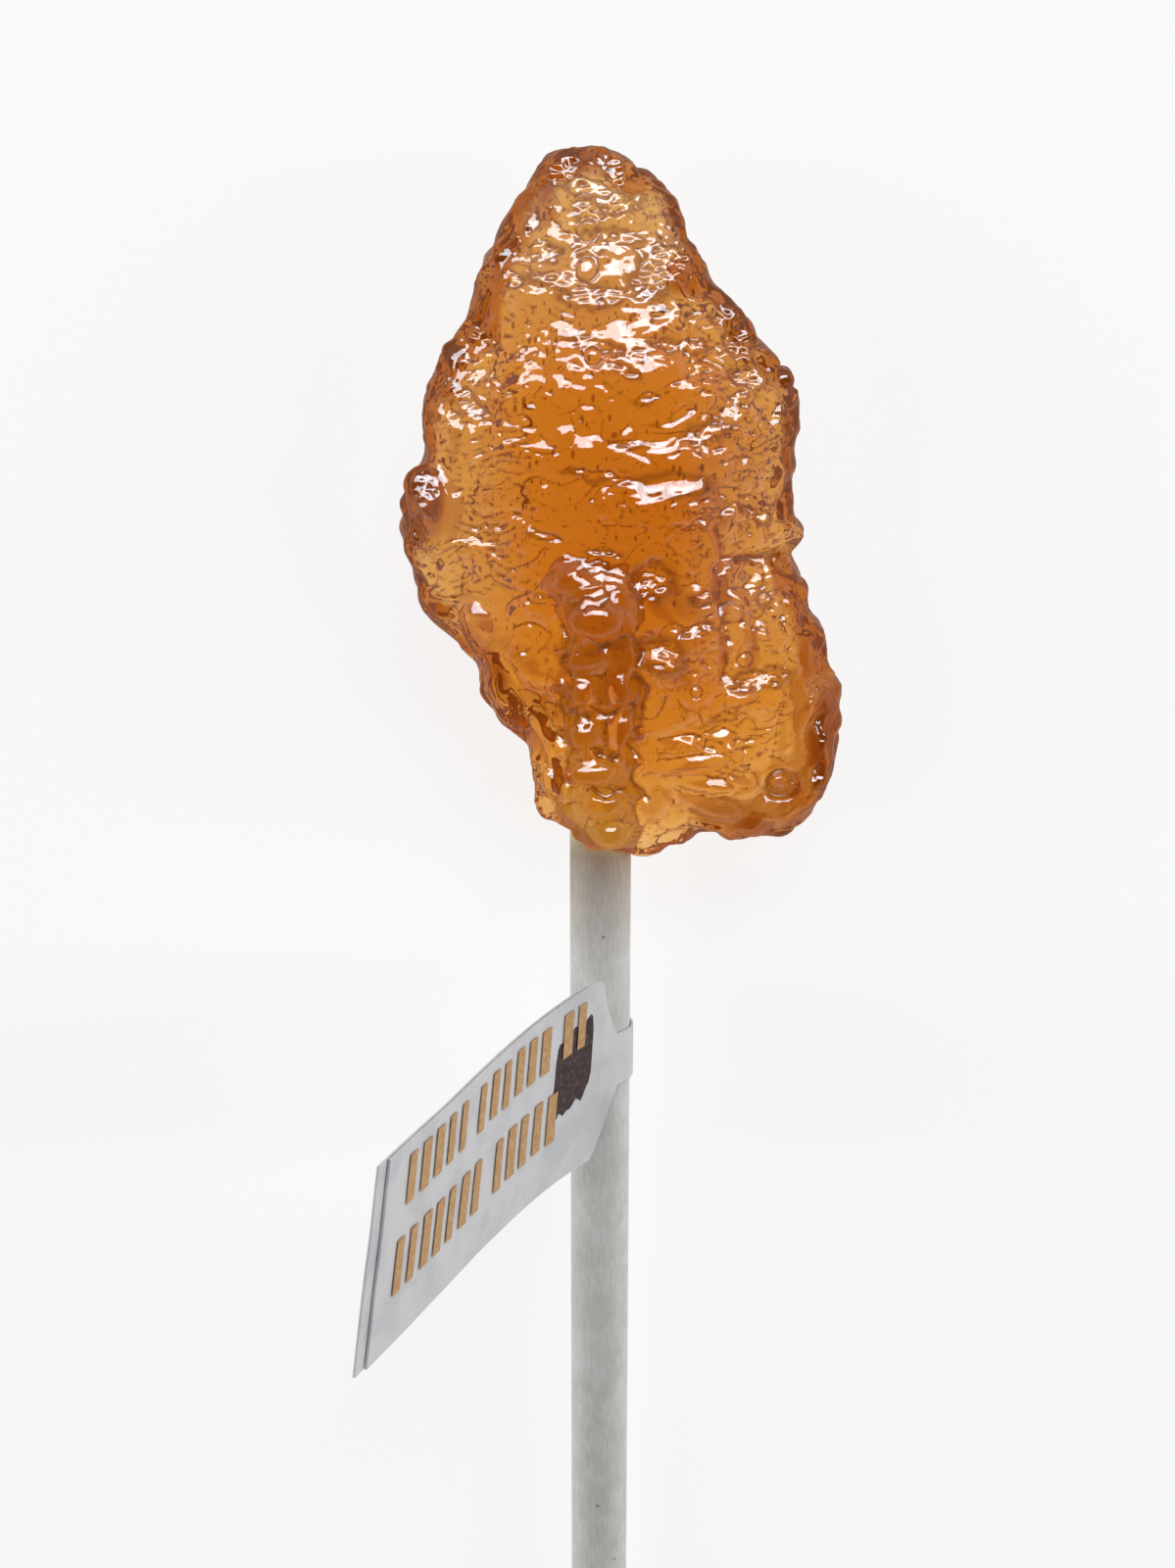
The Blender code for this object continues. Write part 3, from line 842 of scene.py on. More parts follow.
def candy_block():
    """The candy's body as a closed mesh, with its lumps and its thick rim, finer on its shown side."""
    shape = bmesh.new()
    joined(shape, candy_base())
    tree = bvhtree.BVHTree.FromBMesh(shape)
    for x, v, half_x, half_v, turn, rise in FRONT_LUMPS:
        thick = LUMP_THICKNESS * min(half_x, half_v)
        top = front_height(tree, x, v) + rise
        add_ellipsoid(shape, (x, v, top - thick), (half_x, half_v, thick), turn)
    for x, v, radius in rim_beads():
        add_ellipsoid(shape, (x, v, RIM_F), (radius, radius, radius * RIM_DEPTH))
    block = remeshed(shape, VOXEL)
    smooth_mesh(block, BLOCK_SMOOTHING)
    shift_outline(block)
    return finer_front(block)


def shift_outline(mesh):
    """Moves the named places of the outline, and what lies near them."""
    points = point_vectors(mesh, "co")
    moved = points.copy()
    for x, v, shift_x, shift_v in OUTLINE_SHIFTS:
        share = np.exp(-(((points[:, 0] - x) ** 2 + (points[:, 1] - v) ** 2) / SHIFT_REACH**2))
        moved[:, 0] += share * shift_x
        moved[:, 1] += share * shift_v
    set_points(mesh, moved)


def finer_front(mesh):
    """Splits each face of the shown side in four."""
    shape = bmesh.new()
    joined(shape, mesh)
    shape.normal_update()
    edges = {edge for face in shape.faces if face.normal.z > FRONT_START for edge in face.edges}
    bmesh.ops.subdivide_edges(shape, edges=list(edges), cuts=1, use_grid_fill=True)
    fine = finished(shape, "block")
    smooth_mesh(fine, FRONT_SMOOTHING)
    return fine


# ---------------- shares of the candy's surface


def depth_inside(points):
    """How far each point lies inside the candy's outline as seen from the front, in millimetres."""
    low = points[:, :2].min(axis=0) - 2 * OUTLINE_CELL
    cells = ((points[:, :2] - low) / OUTLINE_CELL).astype(int)
    filled = np.zeros(cells.max(axis=0) + 3, bool)
    filled[cells[:, 0], cells[:, 1]] = True
    beside = np.zeros_like(filled)
    beside[1:] |= filled[:-1]
    beside[:-1] |= filled[1:]
    beside[:, 1:] |= filled[:, :-1]
    beside[:, :-1] |= filled[:, 1:]
    outside = low + (np.argwhere(beside & ~filled) + 0.5) * OUTLINE_CELL
    tree = kdtree.KDTree(len(outside))
    for k, (x, v) in enumerate(outside):
        tree.insert((x, v, 0), k)
    tree.balance()
    return np.array([tree.find((x, v, 0))[2] for x, v, _ in points]) - OUTLINE_CELL / 2


def rim_share(points, inside):
    """1 in the band along the candy's outline, of uneven width, and on its thick rim; 0 further in."""
    width = RIM_WIDTH * (1 + RIM_UNEVEN * waves(points, *RIM_WAVES))
    share = smooth((width - inside) / RIM_FADE + 0.5) * (1 - patches(points, CLEAR_PLACES))
    return np.maximum(share, BEAD_RIM * bead_share(points))


def bead_share(points):
    """1 on the foot's thick rim, fading to 0 beside it."""
    share = np.zeros(len(points))
    for x, v, radius in rim_beads():
        reach = ellipse_reach(points, x, v, radius, radius)
        share = np.maximum(share, np.clip((CALM_REACH - reach) / BEAD_FADE, 0, 1))
    return share


def calm_share(points, front):
    """1 on the smooth lumps of the shown side, less on the foot's thick rim, fading to 0 beside them."""
    share = np.zeros(len(points))
    for *ellipse, _ in FRONT_LUMPS:
        reach = ellipse_reach(points, *ellipse)
        share = np.maximum(share, np.clip((CALM_REACH - reach) / LUMP_FADE, 0, 1) * front)
    return np.maximum(share, BEAD_CALM * bead_share(points))


def crease_shade_share(mesh):
    """How sharply the surface folds in at each point, as the share of painted shade there: 0 on flats and
    ridges, 1 in a sharp crease.
    """
    points, normals = point_vectors(mesh, "co"), point_vectors(mesh, "normal")
    mean, spacing = neighbour_means(mesh, points)
    curvature = 4 * ((mean - points) * normals).sum(axis=1) / spacing**2
    return np.clip((curvature - CREASE_START) / (CREASE_FULL - CREASE_START), 0, 1)


def patches(points, places):
    """The strength of the named places at each point: full inside their ragged ellipses, 0 outside."""
    share = np.zeros(len(points))
    points = warped(points, *PATCH_WARP)
    for *ellipse, strength in places:
        reach = ellipse_reach(points, *ellipse)
        share = np.maximum(share, strength * np.exp(-(reach**6)))
    return share


def haze_and_glow_share(points, rim):
    """1 where the sugar is hazy and gives off its painted glow, near the tip, and less at the sides, but 0 on
    the rim.
    """
    sides = read_off(HAZE_BY_X, np.abs(points[:, 0])) * read_off(HAZE_SIDES_BY_V, points[:, 1])
    return np.maximum(sides, read_off(HAZE_BY_V, points[:, 1])) * (1 - rim)


# ---------------- the candy's fine relief


def fold_heights(points, rng):
    """Height of the named folds: wavy ridges along straight lines, broken here and there."""
    heights = np.zeros(len(points))
    for (x0, v0), (x1, v1), half_width, height in FOLDS:
        direction = np.array((x1 - x0, v1 - v0))
        length = np.hypot(*direction)
        direction /= length
        offset = points[:, :2] - (x0, v0)
        along = offset @ direction
        aside = offset @ np.array((-direction[1], direction[0]))
        past_end = np.maximum(0, np.maximum(-along, along - length)) / half_width
        near = (np.abs(aside) < half_width * FOLD_REACH) & (past_end < FOLD_REACH)
        line = np.zeros((near.sum(), 3))
        line[:, 0] = along[near]
        line[:, 1] = rng.uniform(0, NOISE_PLACES)
        side = (aside[near] - FOLD_SWAY * waves(line, *SWAY_WAVES)) / half_width
        broken = FOLD_MEAN + FOLD_BREAK * waves(line, *BREAK_WAVES)
        heights[near] += height * broken * np.exp(-(side**2) - past_end[near] ** 2)
    return heights


def dome_heights(points, front):
    """Height of the rounded domes with sharp creases between them."""
    steep = DOMES_BACK + (read_off(DOMES_FRONT_BY_V, points[:, 1]) - DOMES_BACK) * front
    return steep * (np.abs(waves(points, *DOME_WAVES)) - DOME_MEAN)


def wrinkle_heights(points, front):
    """Height of the fine folds all over: ridges across the candy, in patches, over soft swells."""
    bent = points.copy()
    bent[:, 1] += RIDGE_BEND * waves(points, *BEND_WAVES)
    ridge = np.maximum(0, 1 - RIDGE_STEEPNESS * np.abs(waves(bent, *RIDGE_WAVES)))
    patch = np.clip((waves(points, *PATCH_WAVES) + PATCH_SHIFT) * PATCH_STEEPNESS, 0, 1)
    heights = RIDGE_HEIGHT * ridge * patch + SWELL_HEIGHT * waves(points, *SWELL_WAVES)
    return heights + (GRAIN_BACK + (GRAIN_FRONT - GRAIN_BACK) * front) * waves(points, *GRAIN_WAVES)


def streak_heights(points, inside, rim):
    """Height of the fine streaks and soft knots that run along the candy's rim."""
    near = rim > LEAST_SHARE
    heights = np.zeros(len(points))
    around = np.arctan2(points[:, 1] - RIM_CENTRE_V, points[:, 0]) * RIM_CENTRE_REACH
    streak = waves(np.column_stack((around, inside, points[:, 2]))[near], *STREAK_WAVES)
    knot = np.abs(waves(points[near], *KNOT_WAVES)) - KNOT_MEAN
    heights[near] = rim[near] * (STREAK_HEIGHT * streak + KNOT_HEIGHT * knot)
    return heights


def lace_heights(points, share):
    """Crowded small pits with thin walls between them, where the share is above 0."""
    heights = np.zeros(len(points))
    for k in np.nonzero(share > LEAST_SHARE)[0]:
        nearest, second = noise.voronoi(Vector(points[k] / LACE_CELL))[0][:2]
        heights[k] = -LACE_DEPTH * share[k] * smooth((second - nearest) / LACE_WALL)
    return heights


def ring_heights(points):
    """Height of the named rings: a round dome in a shallow moat."""
    heights = np.zeros(len(points))
    for x, v, radius in RINGS:
        reach = ellipse_reach(points, x, v, radius, radius)
        heights += RING_DOME * radius * np.exp(-((reach / RING_DOME_REACH) ** 4))
        heights -= RING_MOAT * radius * np.exp(-(((reach - 1) / RING_MOAT_WIDTH) ** 2))
    return heights * (points[:, 2] > 0)


def stamp_heights(points, spots):
    """Pits and blisters: spots as centre, half length, half width, height and turn in the face's plane."""
    tree = kdtree.KDTree(len(points))
    for k, point in enumerate(points):
        tree.insert(point, k)
    tree.balance()
    heights = np.zeros(len(points))
    for centre, long_half, short_half, height, turn in spots:
        cos, sin = math.cos(turn), math.sin(turn)
        near = np.array([k for _, k, _ in tree.find_range(centre, long_half * SPOT_REACH)])
        dx, dv, df = (points[near] - centre).T
        across = (dx * cos + dv * sin) / long_half
        along = (dv * cos - dx * sin) / short_half
        reach = across**2 + along**2 + (df / long_half) ** 2
        heights[near] += height * np.exp(-(reach**1.5) * SPOT_STEEPNESS)
    return heights


def surface_spots(points, normals, rng):
    """Small pits and blisters: wider than tall on the shown side, slanting pits on the back."""
    spots = []
    for facing, signs, count, lengths, slimness, steepness, turns in SPOT_KINDS:
        # The points whose normals lean further to that side than its slope.
        places = np.nonzero(normals[:, 2] / facing > 1)[0]
        for _ in range(count):
            half = rng.uniform(*lengths)
            short = half * rng.uniform(*slimness)
            sign = rng.choice(signs) if len(signs) > 1 else signs[0]
            centre = points[rng.choice(places)]
            spots.append((centre, half, short, sign * short * rng.uniform(*steepness), rng.gauss(*turns)))
    return spots


def facet_heights(points, normals, front):
    """Height of the facets, each turned to one slope, with their share and their pits' at each point."""
    ragged = warped(points, *FACET_WARP)
    heights, share, pits = np.zeros((3, len(points)))
    for *ellipse, pitted in FACETS:
        window = np.exp(-(ellipse_reach(ragged, *ellipse) ** 4)) * front
        mean = (normals * window[:, None]).sum(axis=0)
        slope = mean[:2] / mean[2] - (0, math.tan(FACET_TILT))
        rise = np.clip(slope, -FACET_TURN_MOST, FACET_TURN_MOST)
        heights += ((points[:, :2] - ellipse[:2]) * rise).sum(axis=1) * window
        share = np.maximum(share, window)
        pits = np.maximum(pits, window * pitted)
    return heights, share, pits


def candy_surface():
    """The candy's mesh with its fine relief, and with the shares of painted shade and painted glow that tint
    it stored at its points.
    """
    mesh = candy_block()
    points, normals = point_vectors(mesh, "co"), point_vectors(mesh, "normal")
    rng = random.Random(SEED)
    front = on_front(normals)
    inside = depth_inside(points)
    rim = rim_share(points, inside)
    calm = calm_share(points, front)
    facets, facet, lace = facet_heights(points, normals, front)
    loose = (1 - RIM_STILLS * rim) * (1 - CALM_STILLS * calm)
    loose *= (1 - LACE_STILLS * lace) * (1 - FACET_STILLS * (facet - lace))
    rough = loose * read_off(ROUGH_BY_V, points[:, 1]) * read_off(ROUGH_BY_X, np.abs(points[:, 0]))
    heights = wrinkle_heights(points, front) * rough
    heights += dome_heights(points, front) * loose
    heights += fold_heights(points, rng) * front * (1 - RIM_FLATTENS * rim)
    heights += facets
    heights += stamp_heights(points, surface_spots(points, normals, rng)) * rough
    heights += lace_heights(points, lace)
    heights += ring_heights(points)
    heights += streak_heights(points, inside, rim) * (1 - CALM_FLATTENS * calm)
    set_points(mesh, points + normals * (heights - MEAN_HEIGHT)[:, None])
    # Painted shade along each facet's outline, as dark lines round the glints, joined with the painted shade
    # in creases.
    painted_outlines = FACET_OUTLINE_SHADE * 4 * facet * (1 - facet)
    # Shares for the material: painted shade at the rim, in creases and in patches, and the haze with its
    # painted glow.
    store(mesh, "rim", rim)
    store(mesh, "crease_shade", np.maximum(crease_shade_share(mesh), painted_outlines) * front * (1 - RIM_CLEARS * rim))
    store(mesh, "painted_shade", patches(points, PAINTED_SHADE_PATCHES))
    store(mesh, "haze_and_glow", haze_and_glow_share(points, rim))
    mesh.shade_smooth()
    return mesh


# ---------------- candy


def painted_shade_specks(tree, own):
    """Painted shade as brown slanting specks, standing in for small pits that show dark through the sugar,
    thicker in some places than in others.
    """
    slanted = add_node(tree, "ShaderNodeMapping", Vector=own, Rotation=SPECK_SLANT, Scale=SPECK_SCALE)
    cells = add_node(tree, "ShaderNodeTexVoronoi", Vector=slanted.outputs["Vector"], Scale=1.0)
    chance = add_node(tree, "ShaderNodeSeparateColor", Color=cells.outputs["Color"]).outputs["Red"]
    crowd = maths(tree, "MULTIPLY", scaled_noise(tree, own, CROWD_SCALE, 2), SPECK_SIZE)
    _, along, _ = axes(tree, own)
    size = maths(tree, "MULTIPLY", chance, crowd)
    size = maths(tree, "MULTIPLY", size, spread(tree, along, *SPECK_RISE, SPECK_LEAST))
    edge = maths(tree, "SUBTRACT", size, cells.outputs["Distance"])
    return ramp(tree, edge, ((-0.03, CLEAR), (0.05, SPECK_PAINTED_SHADE)))


def candy_material():
    """Clear amber sugar, as smooth glass that swallows blue first and then green.

    Where light crosses its rim, creases, named patches and specks it gets browner still: painted shade. It
    also gives off a faint painted glow, more where it is hazy.
    """
    material, tree, shader = new_material("amber_candy")
    own = own_coordinates(tree)
    # Painted shade at the rim, in creases and in patches, and the haze's tint.
    kinds = (("rim", RIM_PAINTED_SHADE), ("crease_shade", CREASE_PAINTED_SHADE), ("painted_shade", PAINTED_SHADE_TINT), ("haze_and_glow", HAZE_AND_GLOW_TINT))
    tints = [ramp(tree, stored(tree, name), ((0, CLEAR), (1, tint))) for name, tint in kinds]
    ripple = maths(tree, "MULTIPLY", scaled_noise(tree, own, RIPPLE_SCALE, 2), RIPPLE_HEIGHT)
    fill(
        tree,
        shader,
        Base_Color=tinted(tree, *tints, painted_shade_specks(tree, own)),
        Roughness=0.0,
        IOR=1.5,
        Transmission_Weight=1.0,
        # Painted glow: the sugar gives off a faint light everywhere, and more where it is hazy.
        Emission_Color=ramp(tree, stored(tree, "haze_and_glow"), ((0, PAINTED_GLOW), (1, PAINTED_GLOW_WITH_HAZE))),
        Emission_Strength=1,
        Normal=bumped(tree, ripple, 1, MM),
    )
    # Lamps shine through it, tinted by the sugar, so that what lies under it isn't black.
    clear = add_node(tree, "ShaderNodeBsdfTransparent", Color=SHADE_TINT)
    path = add_node(tree, "ShaderNodeLightPath")
    mix = add_node(tree, "ShaderNodeMixShader", Fac=path.outputs["Is Shadow Ray"])
    feed(tree, mix.inputs[1], shader.outputs["BSDF"])
    feed(tree, mix.inputs[2], clear.outputs["BSDF"])
    absorb = add_node(tree, "ShaderNodeVolumeAbsorption", Color=CANDY_TINT, Density=CANDY_DENSITY)
    output = tree.nodes["Material Output"]
    fill(tree, output, Surface=mix.outputs["Shader"], Volume=absorb.outputs["Volume"])
    return material


def keep_above_floor(mesh):
    """Lifts what would lie below the ground."""
    points = point_vectors(mesh, "co")
    points[:, 2] = np.maximum(points[:, 2], FLOOR_GAP)
    set_points(mesh, points)


def candy():
    """The lump of sugar."""
    piece = add_piece("candy_body", candy_surface(), candy_material())
    keep_above_floor(piece.data)
    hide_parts("candy")


# ---------------- stick


def stick_material():
    """Rolled white paper: fine fibres along the stick, soft mottling, rare specks and a spiral at its end."""
    material, tree, shader = new_material("rolled_paper")
    own = own_coordinates(tree)
    fibre = scaled_noise(tree, own, FIBRE_SCALE, 3)
    mottle = scaled_noise(tree, own, MOTTLE_SCALE, 2)
    tone = maths(tree, "ADD", fibre, mottle)
    colour = ramp(tree, tone, ((0.75, STICK_DARK), (1.25, STICK_LIGHT)))
    specks = add_node(tree, "ShaderNodeTexVoronoi", Vector=own, Scale=STICK_SPECK_SCALE)
    speck = ramp(tree, specks.outputs["Distance"], ((0.03, STICK_SPECK), (0.06, CLEAR)))
    fill(
        tree,
        shader,
        # Its soaked part carries painted shade where it enters the candy and painted light inside it.
        Base_Color=tinted(tree, colour, speck, end_spiral(tree, own), soak_with_painted_light(tree, own)),
        Roughness=0.8,
        Specular_IOR_Level=0.35,
        Normal=bumped(tree, tone, 0.5, FIBRE_RELIEF),
    )
    return material


def soak_with_painted_light(tree, own):
    """The tint of paper soaked with sugar: painted shade where it enters the candy, then warm and blotchy,
    brightened inside by painted light.
    """
    _, along, _ = axes(tree, own)
    soaked = ramp(tree, along, SOAK_SHADE_AND_LIGHT_BY_V)
    blotch = ramp(tree, scaled_noise(tree, own, BLOTCH_SCALE, 2), ((0.4, SOAK_BLOTCH), (0.6, CLEAR)))
    return tinted(tree, soaked, mixed(tree, spread(tree, along, *SOAK_START), CLEAR, blotch))


def end_spiral(tree, own):
    """Thin darker lines where the rolled layers of paper show at the stick's cut end."""
    x, v, f = axes(tree, own)
    flat = add_node(tree, "ShaderNodeCombineXYZ", X=x, Y=f)
    reach = add_node(tree, "ShaderNodeVectorMath", operation="LENGTH", Vector=flat.outputs["Vector"])
    turns = maths(tree, "MULTIPLY", maths(tree, "ARCTAN2", f, x), 1 / math.tau)
    layers = maths(tree, "ADD", maths(tree, "MULTIPLY", reach.outputs["Value"], 1 / STICK_LAYER), turns)
    line = ramp(tree, maths(tree, "PINGPONG", layers, 0.5), ((0.0, SPIRAL_DARK), (0.16, CLEAR)))
    past_end = maths(tree, "LESS_THAN", v, STICK_TOP_V - STICK_LENGTH + END_DEPTH)
    return mixed(tree, past_end, CLEAR, line)


def stick():
    """The CAD stick, with its looks."""
    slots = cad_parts["stick"].data.materials
    slots.clear()
    slots.append(stick_material())


# ---------------- label


def turned(angle):
    """The direction (x, f) at an angle."""
    return np.array((math.cos(angle), math.sin(angle)))


def flag_angle(reach):
    """How steeply the flag rises towards +f at a distance from its shoulder, in radians."""
    left = max(0.0, 1 - reach / FLAG_CURL_LENGTH)
    return math.radians(FLAG_END_ANGLE + (FLAG_START_ANGLE - FLAG_END_ANGLE) * left**2)


def flag_line(length):
    """Points (x, f) along the middle of the glued flag, with the side on which its front lies."""
    angle = flag_angle(0)
    point = turned(math.pi / 2 - angle) * LOOP_RADIUS
    point += turned(math.pi - angle) * FLAG_LEAD
    points, fronts = [], []
    for k in range(int(length / LINE_STEP) + 1):
        angle = flag_angle(k * LINE_STEP)
        points.append(point.copy())
        fronts.append(turned(math.pi / 2 - angle))
        point += turned(math.pi - angle) * LINE_STEP
    return np.array(points), np.array(fronts)


def bridge_line(start, leaving, finish, arriving, count):
    """Points of a smooth curve between two points with given directions."""
    size = np.linalg.norm(finish - start)
    s = np.linspace(0, 1, count)[:, None]
    return (
        (2 * s**3 - 3 * s**2 + 1) * start
        + (s**3 - 2 * s**2 + s) * leaving * size
        + (3 * s**2 - 2 * s**3) * finish
        + (s**3 - s**2) * arriving * size
    )


def label_line():
    """The label's centre line (x, f) from its front free end round the stick to its rear free end.

    Each point comes with its reach, which is its distance out along the flag.
    """
    apart = (LABEL_THICKNESS + LABEL_GAP) / 2
    points, fronts = flag_line(FLAG_LENGTH)
    front = (points + fronts * apart)[::-1]
    reach_front = np.arange(len(front))[::-1] * LINE_STEP
    turns = np.linspace(math.pi / 2 - flag_angle(0), -math.radians(WRAP_END), LOOP_POINTS)
    loop = np.array([turned(turn) for turn in turns]) * LOOP_RADIUS
    points, fronts = flag_line(FLAG_LENGTH + BACK_SLIP)
    glued = int(JOIN_REACH / LINE_STEP)
    rear = (points - fronts * apart)[glued:]
    arriving = turned(math.pi - flag_angle(JOIN_REACH))
    leaving = turned(turns[-1] - math.pi / 2)
    bridge = bridge_line(loop[-1], leaving, rear[0], arriving, BRIDGE_POINTS)[1:-1]
    reach_bridge = np.linspace(0, JOIN_REACH, BRIDGE_POINTS)[1:-1]
    reach_rear = np.arange(glued, len(points)) * LINE_STEP
    line = np.concatenate((front, loop, bridge, rear))
    return line, np.concatenate((reach_front, np.zeros(len(loop)), reach_bridge, reach_rear))


class LabelStrip:
    """The label as a strip, measured by its run, which is the length from its front free end."""

    def __init__(self):
        self.line, self.reach = label_line()
        steps = np.linalg.norm(np.diff(self.line, axis=0), axis=1)
        self.run = np.concatenate(([0.0], np.cumsum(steps)))
        self.total = self.run[-1]

    def half_height(self, run):
        """Half the label's height: a paddle, a shoulder, then the neck."""
        from_end = min(run, self.total - run)
        share = np.clip((from_end - (FLAG_LENGTH - SHOULDER_LENGTH)) / SHOULDER_LENGTH, 0.0, 1.0)
        share = share + NECK_FILLET * math.sin(share * math.pi) * share
        return (PADDLE_HEIGHT + (NECK_HEIGHT - PADDLE_HEIGHT) * min(1.0, share)) / 2

    def at(self, run, height):
        """Middle of the paper at a run along the strip and a height across it, with its front normal."""
        x, f, out = (np.interp(run, self.run, column) for column in (*self.line.T, self.reach))
        before, after = max(0.0, run - LINE_STEP), min(self.total, run + LINE_STEP)
        across, forward = (np.interp((before, after), self.run, column) for column in self.line.T)
        tangent = Vector((across[1] - across[0], 0, forward[1] - forward[0])).normalized()
        normal = Vector((-tangent.z, 0, tangent.x))
        lean = math.radians(FLAG_LEAN[0] + (FLAG_LEAN[1] - FLAG_LEAN[0]) * out / FLAG_LENGTH)
        lean *= smooth(out / SHOULDER_LENGTH)
        leaning = turned(math.pi / 2 - flag_angle(out)) * math.sin(lean)
        up = Vector((leaning[0], math.cos(lean), leaning[1]))
        droop = FLAG_DROOP * (1 - max(0.0, 1 - out / FLAG_DROOP_LENGTH) ** 2)
        middle = Vector((x, LABEL_V - droop, f)) + up * height
        ripple = noise.noise(Vector((out / 5.0, height / 4.0, 2.0)))
        ripple *= LABEL_RIPPLE * smooth(out / LABEL_RIPPLE_START)
        side = 1 if run < self.total / 2 else -1
        return middle + normal * (ripple * side), normal


def strip_mesh(name, strip, stations, rows, thickness, lift=0.0):
    """A closed strip of paper or ink through stations of (run, low height, high height)."""
    shape = bmesh.new()
    rings = []
    for run, low, high in stations:
        ring = []
        for side, shares in ((-0.5, range(rows)), (0.5, range(rows - 1, -1, -1))):
            for k in shares:
                point, normal = strip.at(run, low + (high - low) * k / (rows - 1))
                ring.append(shape.verts.new(point + normal * (thickness * side + lift)))
        rings.append(ring)
    count = len(rings[0])
    for first, second in zip(rings, rings[1:]):
        for k in range(count):
            after = (k + 1) % count
            shape.faces.new((first[k], first[after], second[after], second[k]))
    shape.faces.new(rings[0][::-1])
    shape.faces.new(rings[-1])
    bmesh.ops.recalc_face_normals(shape, faces=shape.faces)
    mesh = finished(shape, name)
    mesh.shade_smooth()
    mesh.set_sharp_from_angle(angle=SHARP_ANGLE)
    return mesh


def label_sheet(strip):
    """The label's paper."""
    stations = []
    count = int(strip.total / SHEET_STEP)
    for k in range(count + 1):
        run = strip.total * k / count
        half = strip.half_height(run)
        stations.append((run, -half, half))
    mesh = strip_mesh("label_sheet", strip, stations, SHEET_ROWS, LABEL_THICKNESS)
    piece = add_piece("label_sheet", mesh, label_material())
    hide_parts("label")


def print_bars(strip):
    """Plain tan bars in two rows on the flag's front."""
    shape = bmesh.new()
    rng = random.Random(SEED)
    for (low, high), groups in PRINT_ROWS:
        for start, bars in groups:
            for k in range(bars):
                run = start + k * BAR_PITCH
                width = BAR_WIDTH * rng.uniform(*BAR_UNEVEN)
                rise = rng.uniform(-BAR_RISE, BAR_RISE)
                stations = [(run + width * share, low + rise, high + rise) for share in BAR_SHARES]
                joined(shape, strip_mesh("bar", strip, stations, BAR_ROWS, INK_THICKNESS, INK_LIFT * 2))
    ink = ink_material("tan_ink", TAN_INK, TAN_INK_WORN)
    add_piece("print_bars", finished(shape, "print_bars"), ink)


def print_field(strip):
    """A plain dark field with rounded corners and uneven edges on the flag's front."""
    stations = []
    (start, end), (low, high) = DARK_FIELD
    for k in range(FIELD_STEPS + 1):
        share = k / FIELD_STEPS
        corner = (1 - (2 * share - 1) ** FIELD_SQUARENESS) ** 0.5
        middle = (low + high) / 2 + (share - 0.5) * FIELD_SLANT
        half = (high - low) / 2 * (FIELD_ENDS + (1 - FIELD_ENDS) * corner)
        below, above = (noise.noise(Vector((share * 7, side, 4))) * FIELD_WOBBLE for side in FIELD_SIDES)
        stations.append((start + (end - start) * share, middle - half + below, middle + half + above))
    mesh = strip_mesh("print_field", strip, stations, FIELD_ROWS, INK_THICKNESS, INK_LIFT)
    add_piece("print_field", mesh, ink_material("dark_ink", DARK_INK, DARK_INK_WORN))


def label_material():
    """Satin white paper with faint grey smudges and scuffs."""
    material, tree, shader = new_material("label_paper")
    own = own_coordinates(tree)
    smudge = scaled_noise(tree, own, SMUDGE_SCALE, 4)
    scuff = scaled_noise(tree, own, SCUFF_SCALE, 5)
    fill(
        tree,
        shader,
        Base_Color=ramp(tree, smudge, ((0.38, LABEL_SMUDGE), (0.55, LABEL_WHITE))),
        Roughness=ramp(tree, scuff, ((0.4, LABEL_SHINY), (0.65, LABEL_DULL))),
        Normal=bumped(tree, scuff, 0.3, SCUFF_RELIEF),
    )
    return material


def ink_material(name, ink, worn):
    """Printed ink, worn through in tiny flecks."""
    material, tree, shader = new_material(name)
    wear = scaled_noise(tree, own_coordinates(tree), WEAR_SCALE, 5)
    fill(tree, shader, Base_Color=ramp(tree, wear, ((0.35, worn), (0.55, ink))), Roughness=0.5)
    return material


def label():
    """The folded label with its print."""
    strip = LabelStrip()
    label_sheet(strip)
    print_bars(strip)
    print_field(strip)


# ---------------- stage


def floor():
    """A wide pale floor that glows softly by itself, as a light table does, so that the candy lights up."""
    shape = bmesh.new()
    bmesh.ops.create_grid(shape, x_segments=1, y_segments=1, size=FLOOR_HALF)
    piece = add_object("floor", finished(shape, "floor"))
    material, tree, shader = new_material("pale_floor")
    fill(tree, shader, Base_Color=FLOOR_GREY, Roughness=1, Specular_IOR_Level=0)
    fill(tree, shader, Emission_Color=CLEAR, Emission_Strength=FLOOR_GLOW)
    piece.data.materials.append(material)
    # Its reflection would wash out the candy's rim, which mirrors the dimmer room below instead.
    piece.visible_glossy = False


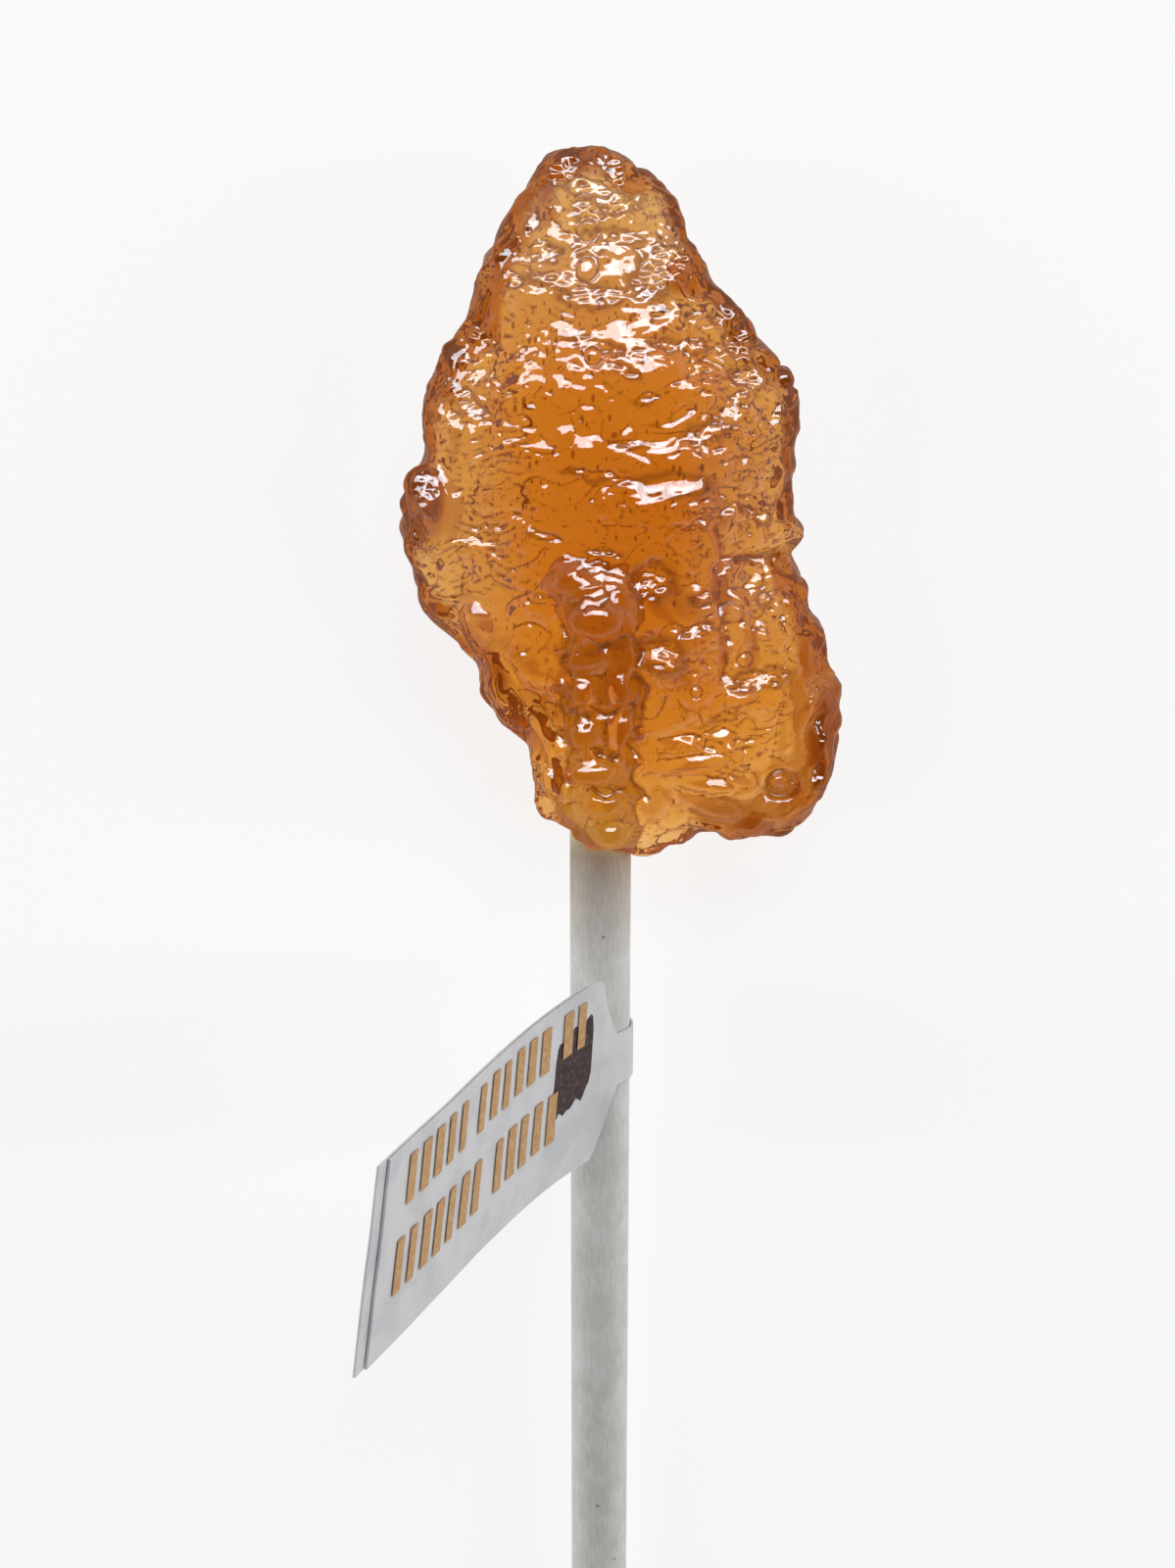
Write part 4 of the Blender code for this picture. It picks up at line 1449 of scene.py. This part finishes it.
def area_light(name, offset, width, height, radiance):
    """A soft box that faces the candy, whose power follows from its size and the radiance wanted."""
    data = bpy.data.lights.new(name, "AREA")
    data.shape = "RECTANGLE"
    data.size, data.size_y = width, height
    data.energy = radiance * width * height * math.pi
    light = add_object(name, data)
    light.location = place(*LIGHT_TARGET) + Vector(offset)
    light.rotation_euler = (-Vector(offset)).to_track_quat("-Z", "Y").to_euler()
    light.visible_transmission = False
    return light


def lights():
    """A key light, a soft box that only makes the glints, and two side lights that make none."""
    area_light("key", *KEY_LIGHT)
    shine = area_light("shine", *SHINE_LIGHT)
    shine.data.color = SHINE_COLOUR
    shine.visible_diffuse = False
    for name, light in (("left", LEFT_LIGHT), ("right", RIGHT_LIGHT)):
        area_light(name, *light).visible_glossy = False


def studio_world():
    """A room that is pale round the horizon, as behind a curved backdrop, dimmer below it and dark above."""
    world = bpy.data.worlds.new("studio")
    bpy.context.scene.world = world
    world.use_nodes = True
    tree = world.node_tree
    _, _, rise = axes(tree, add_node(tree, "ShaderNodeTexCoord").outputs["Generated"])
    fill(tree, tree.nodes["Background"], Color=ramp(tree, rise, ROOM_LIGHT))


def camera():
    """The photograph's own view."""
    data = bpy.data.cameras.new("camera")
    data.sensor_width = SENSOR_MM
    data.lens = SENSOR_MM * FOCAL_PX / PHOTO_HEIGHT_PX
    data.clip_start = CAMERA_NEAR
    viewer = add_object("camera", data)
    tilt = Matrix.Rotation(-CAMERA_SLANT, 4, "X")
    own = TO_ROW.to_3x3().normalized().to_4x4()
    viewer.matrix_world = Matrix.Translation(place(CAMERA_X, CAMERA_V, CAMERA_F)) @ own @ tilt
    bpy.context.scene.camera = viewer


def main():
    """The lollipop on its stage."""
    # Noise vectors draw on a seed that would else be the time of day.
    noise.seed_set(SEED)
    scene = bpy.context.scene
    scene.view_settings.view_transform = "Standard"
    scene.cycles.use_denoising = True
    scene.cycles.max_bounces = BOUNCES
    scene.cycles.transmission_bounces = CROSSINGS
    scene.cycles.glossy_bounces = REFLECTIONS
    camera()
    floor()
    studio_world()
    lights()
    candy()
    stick()
    label()


main()
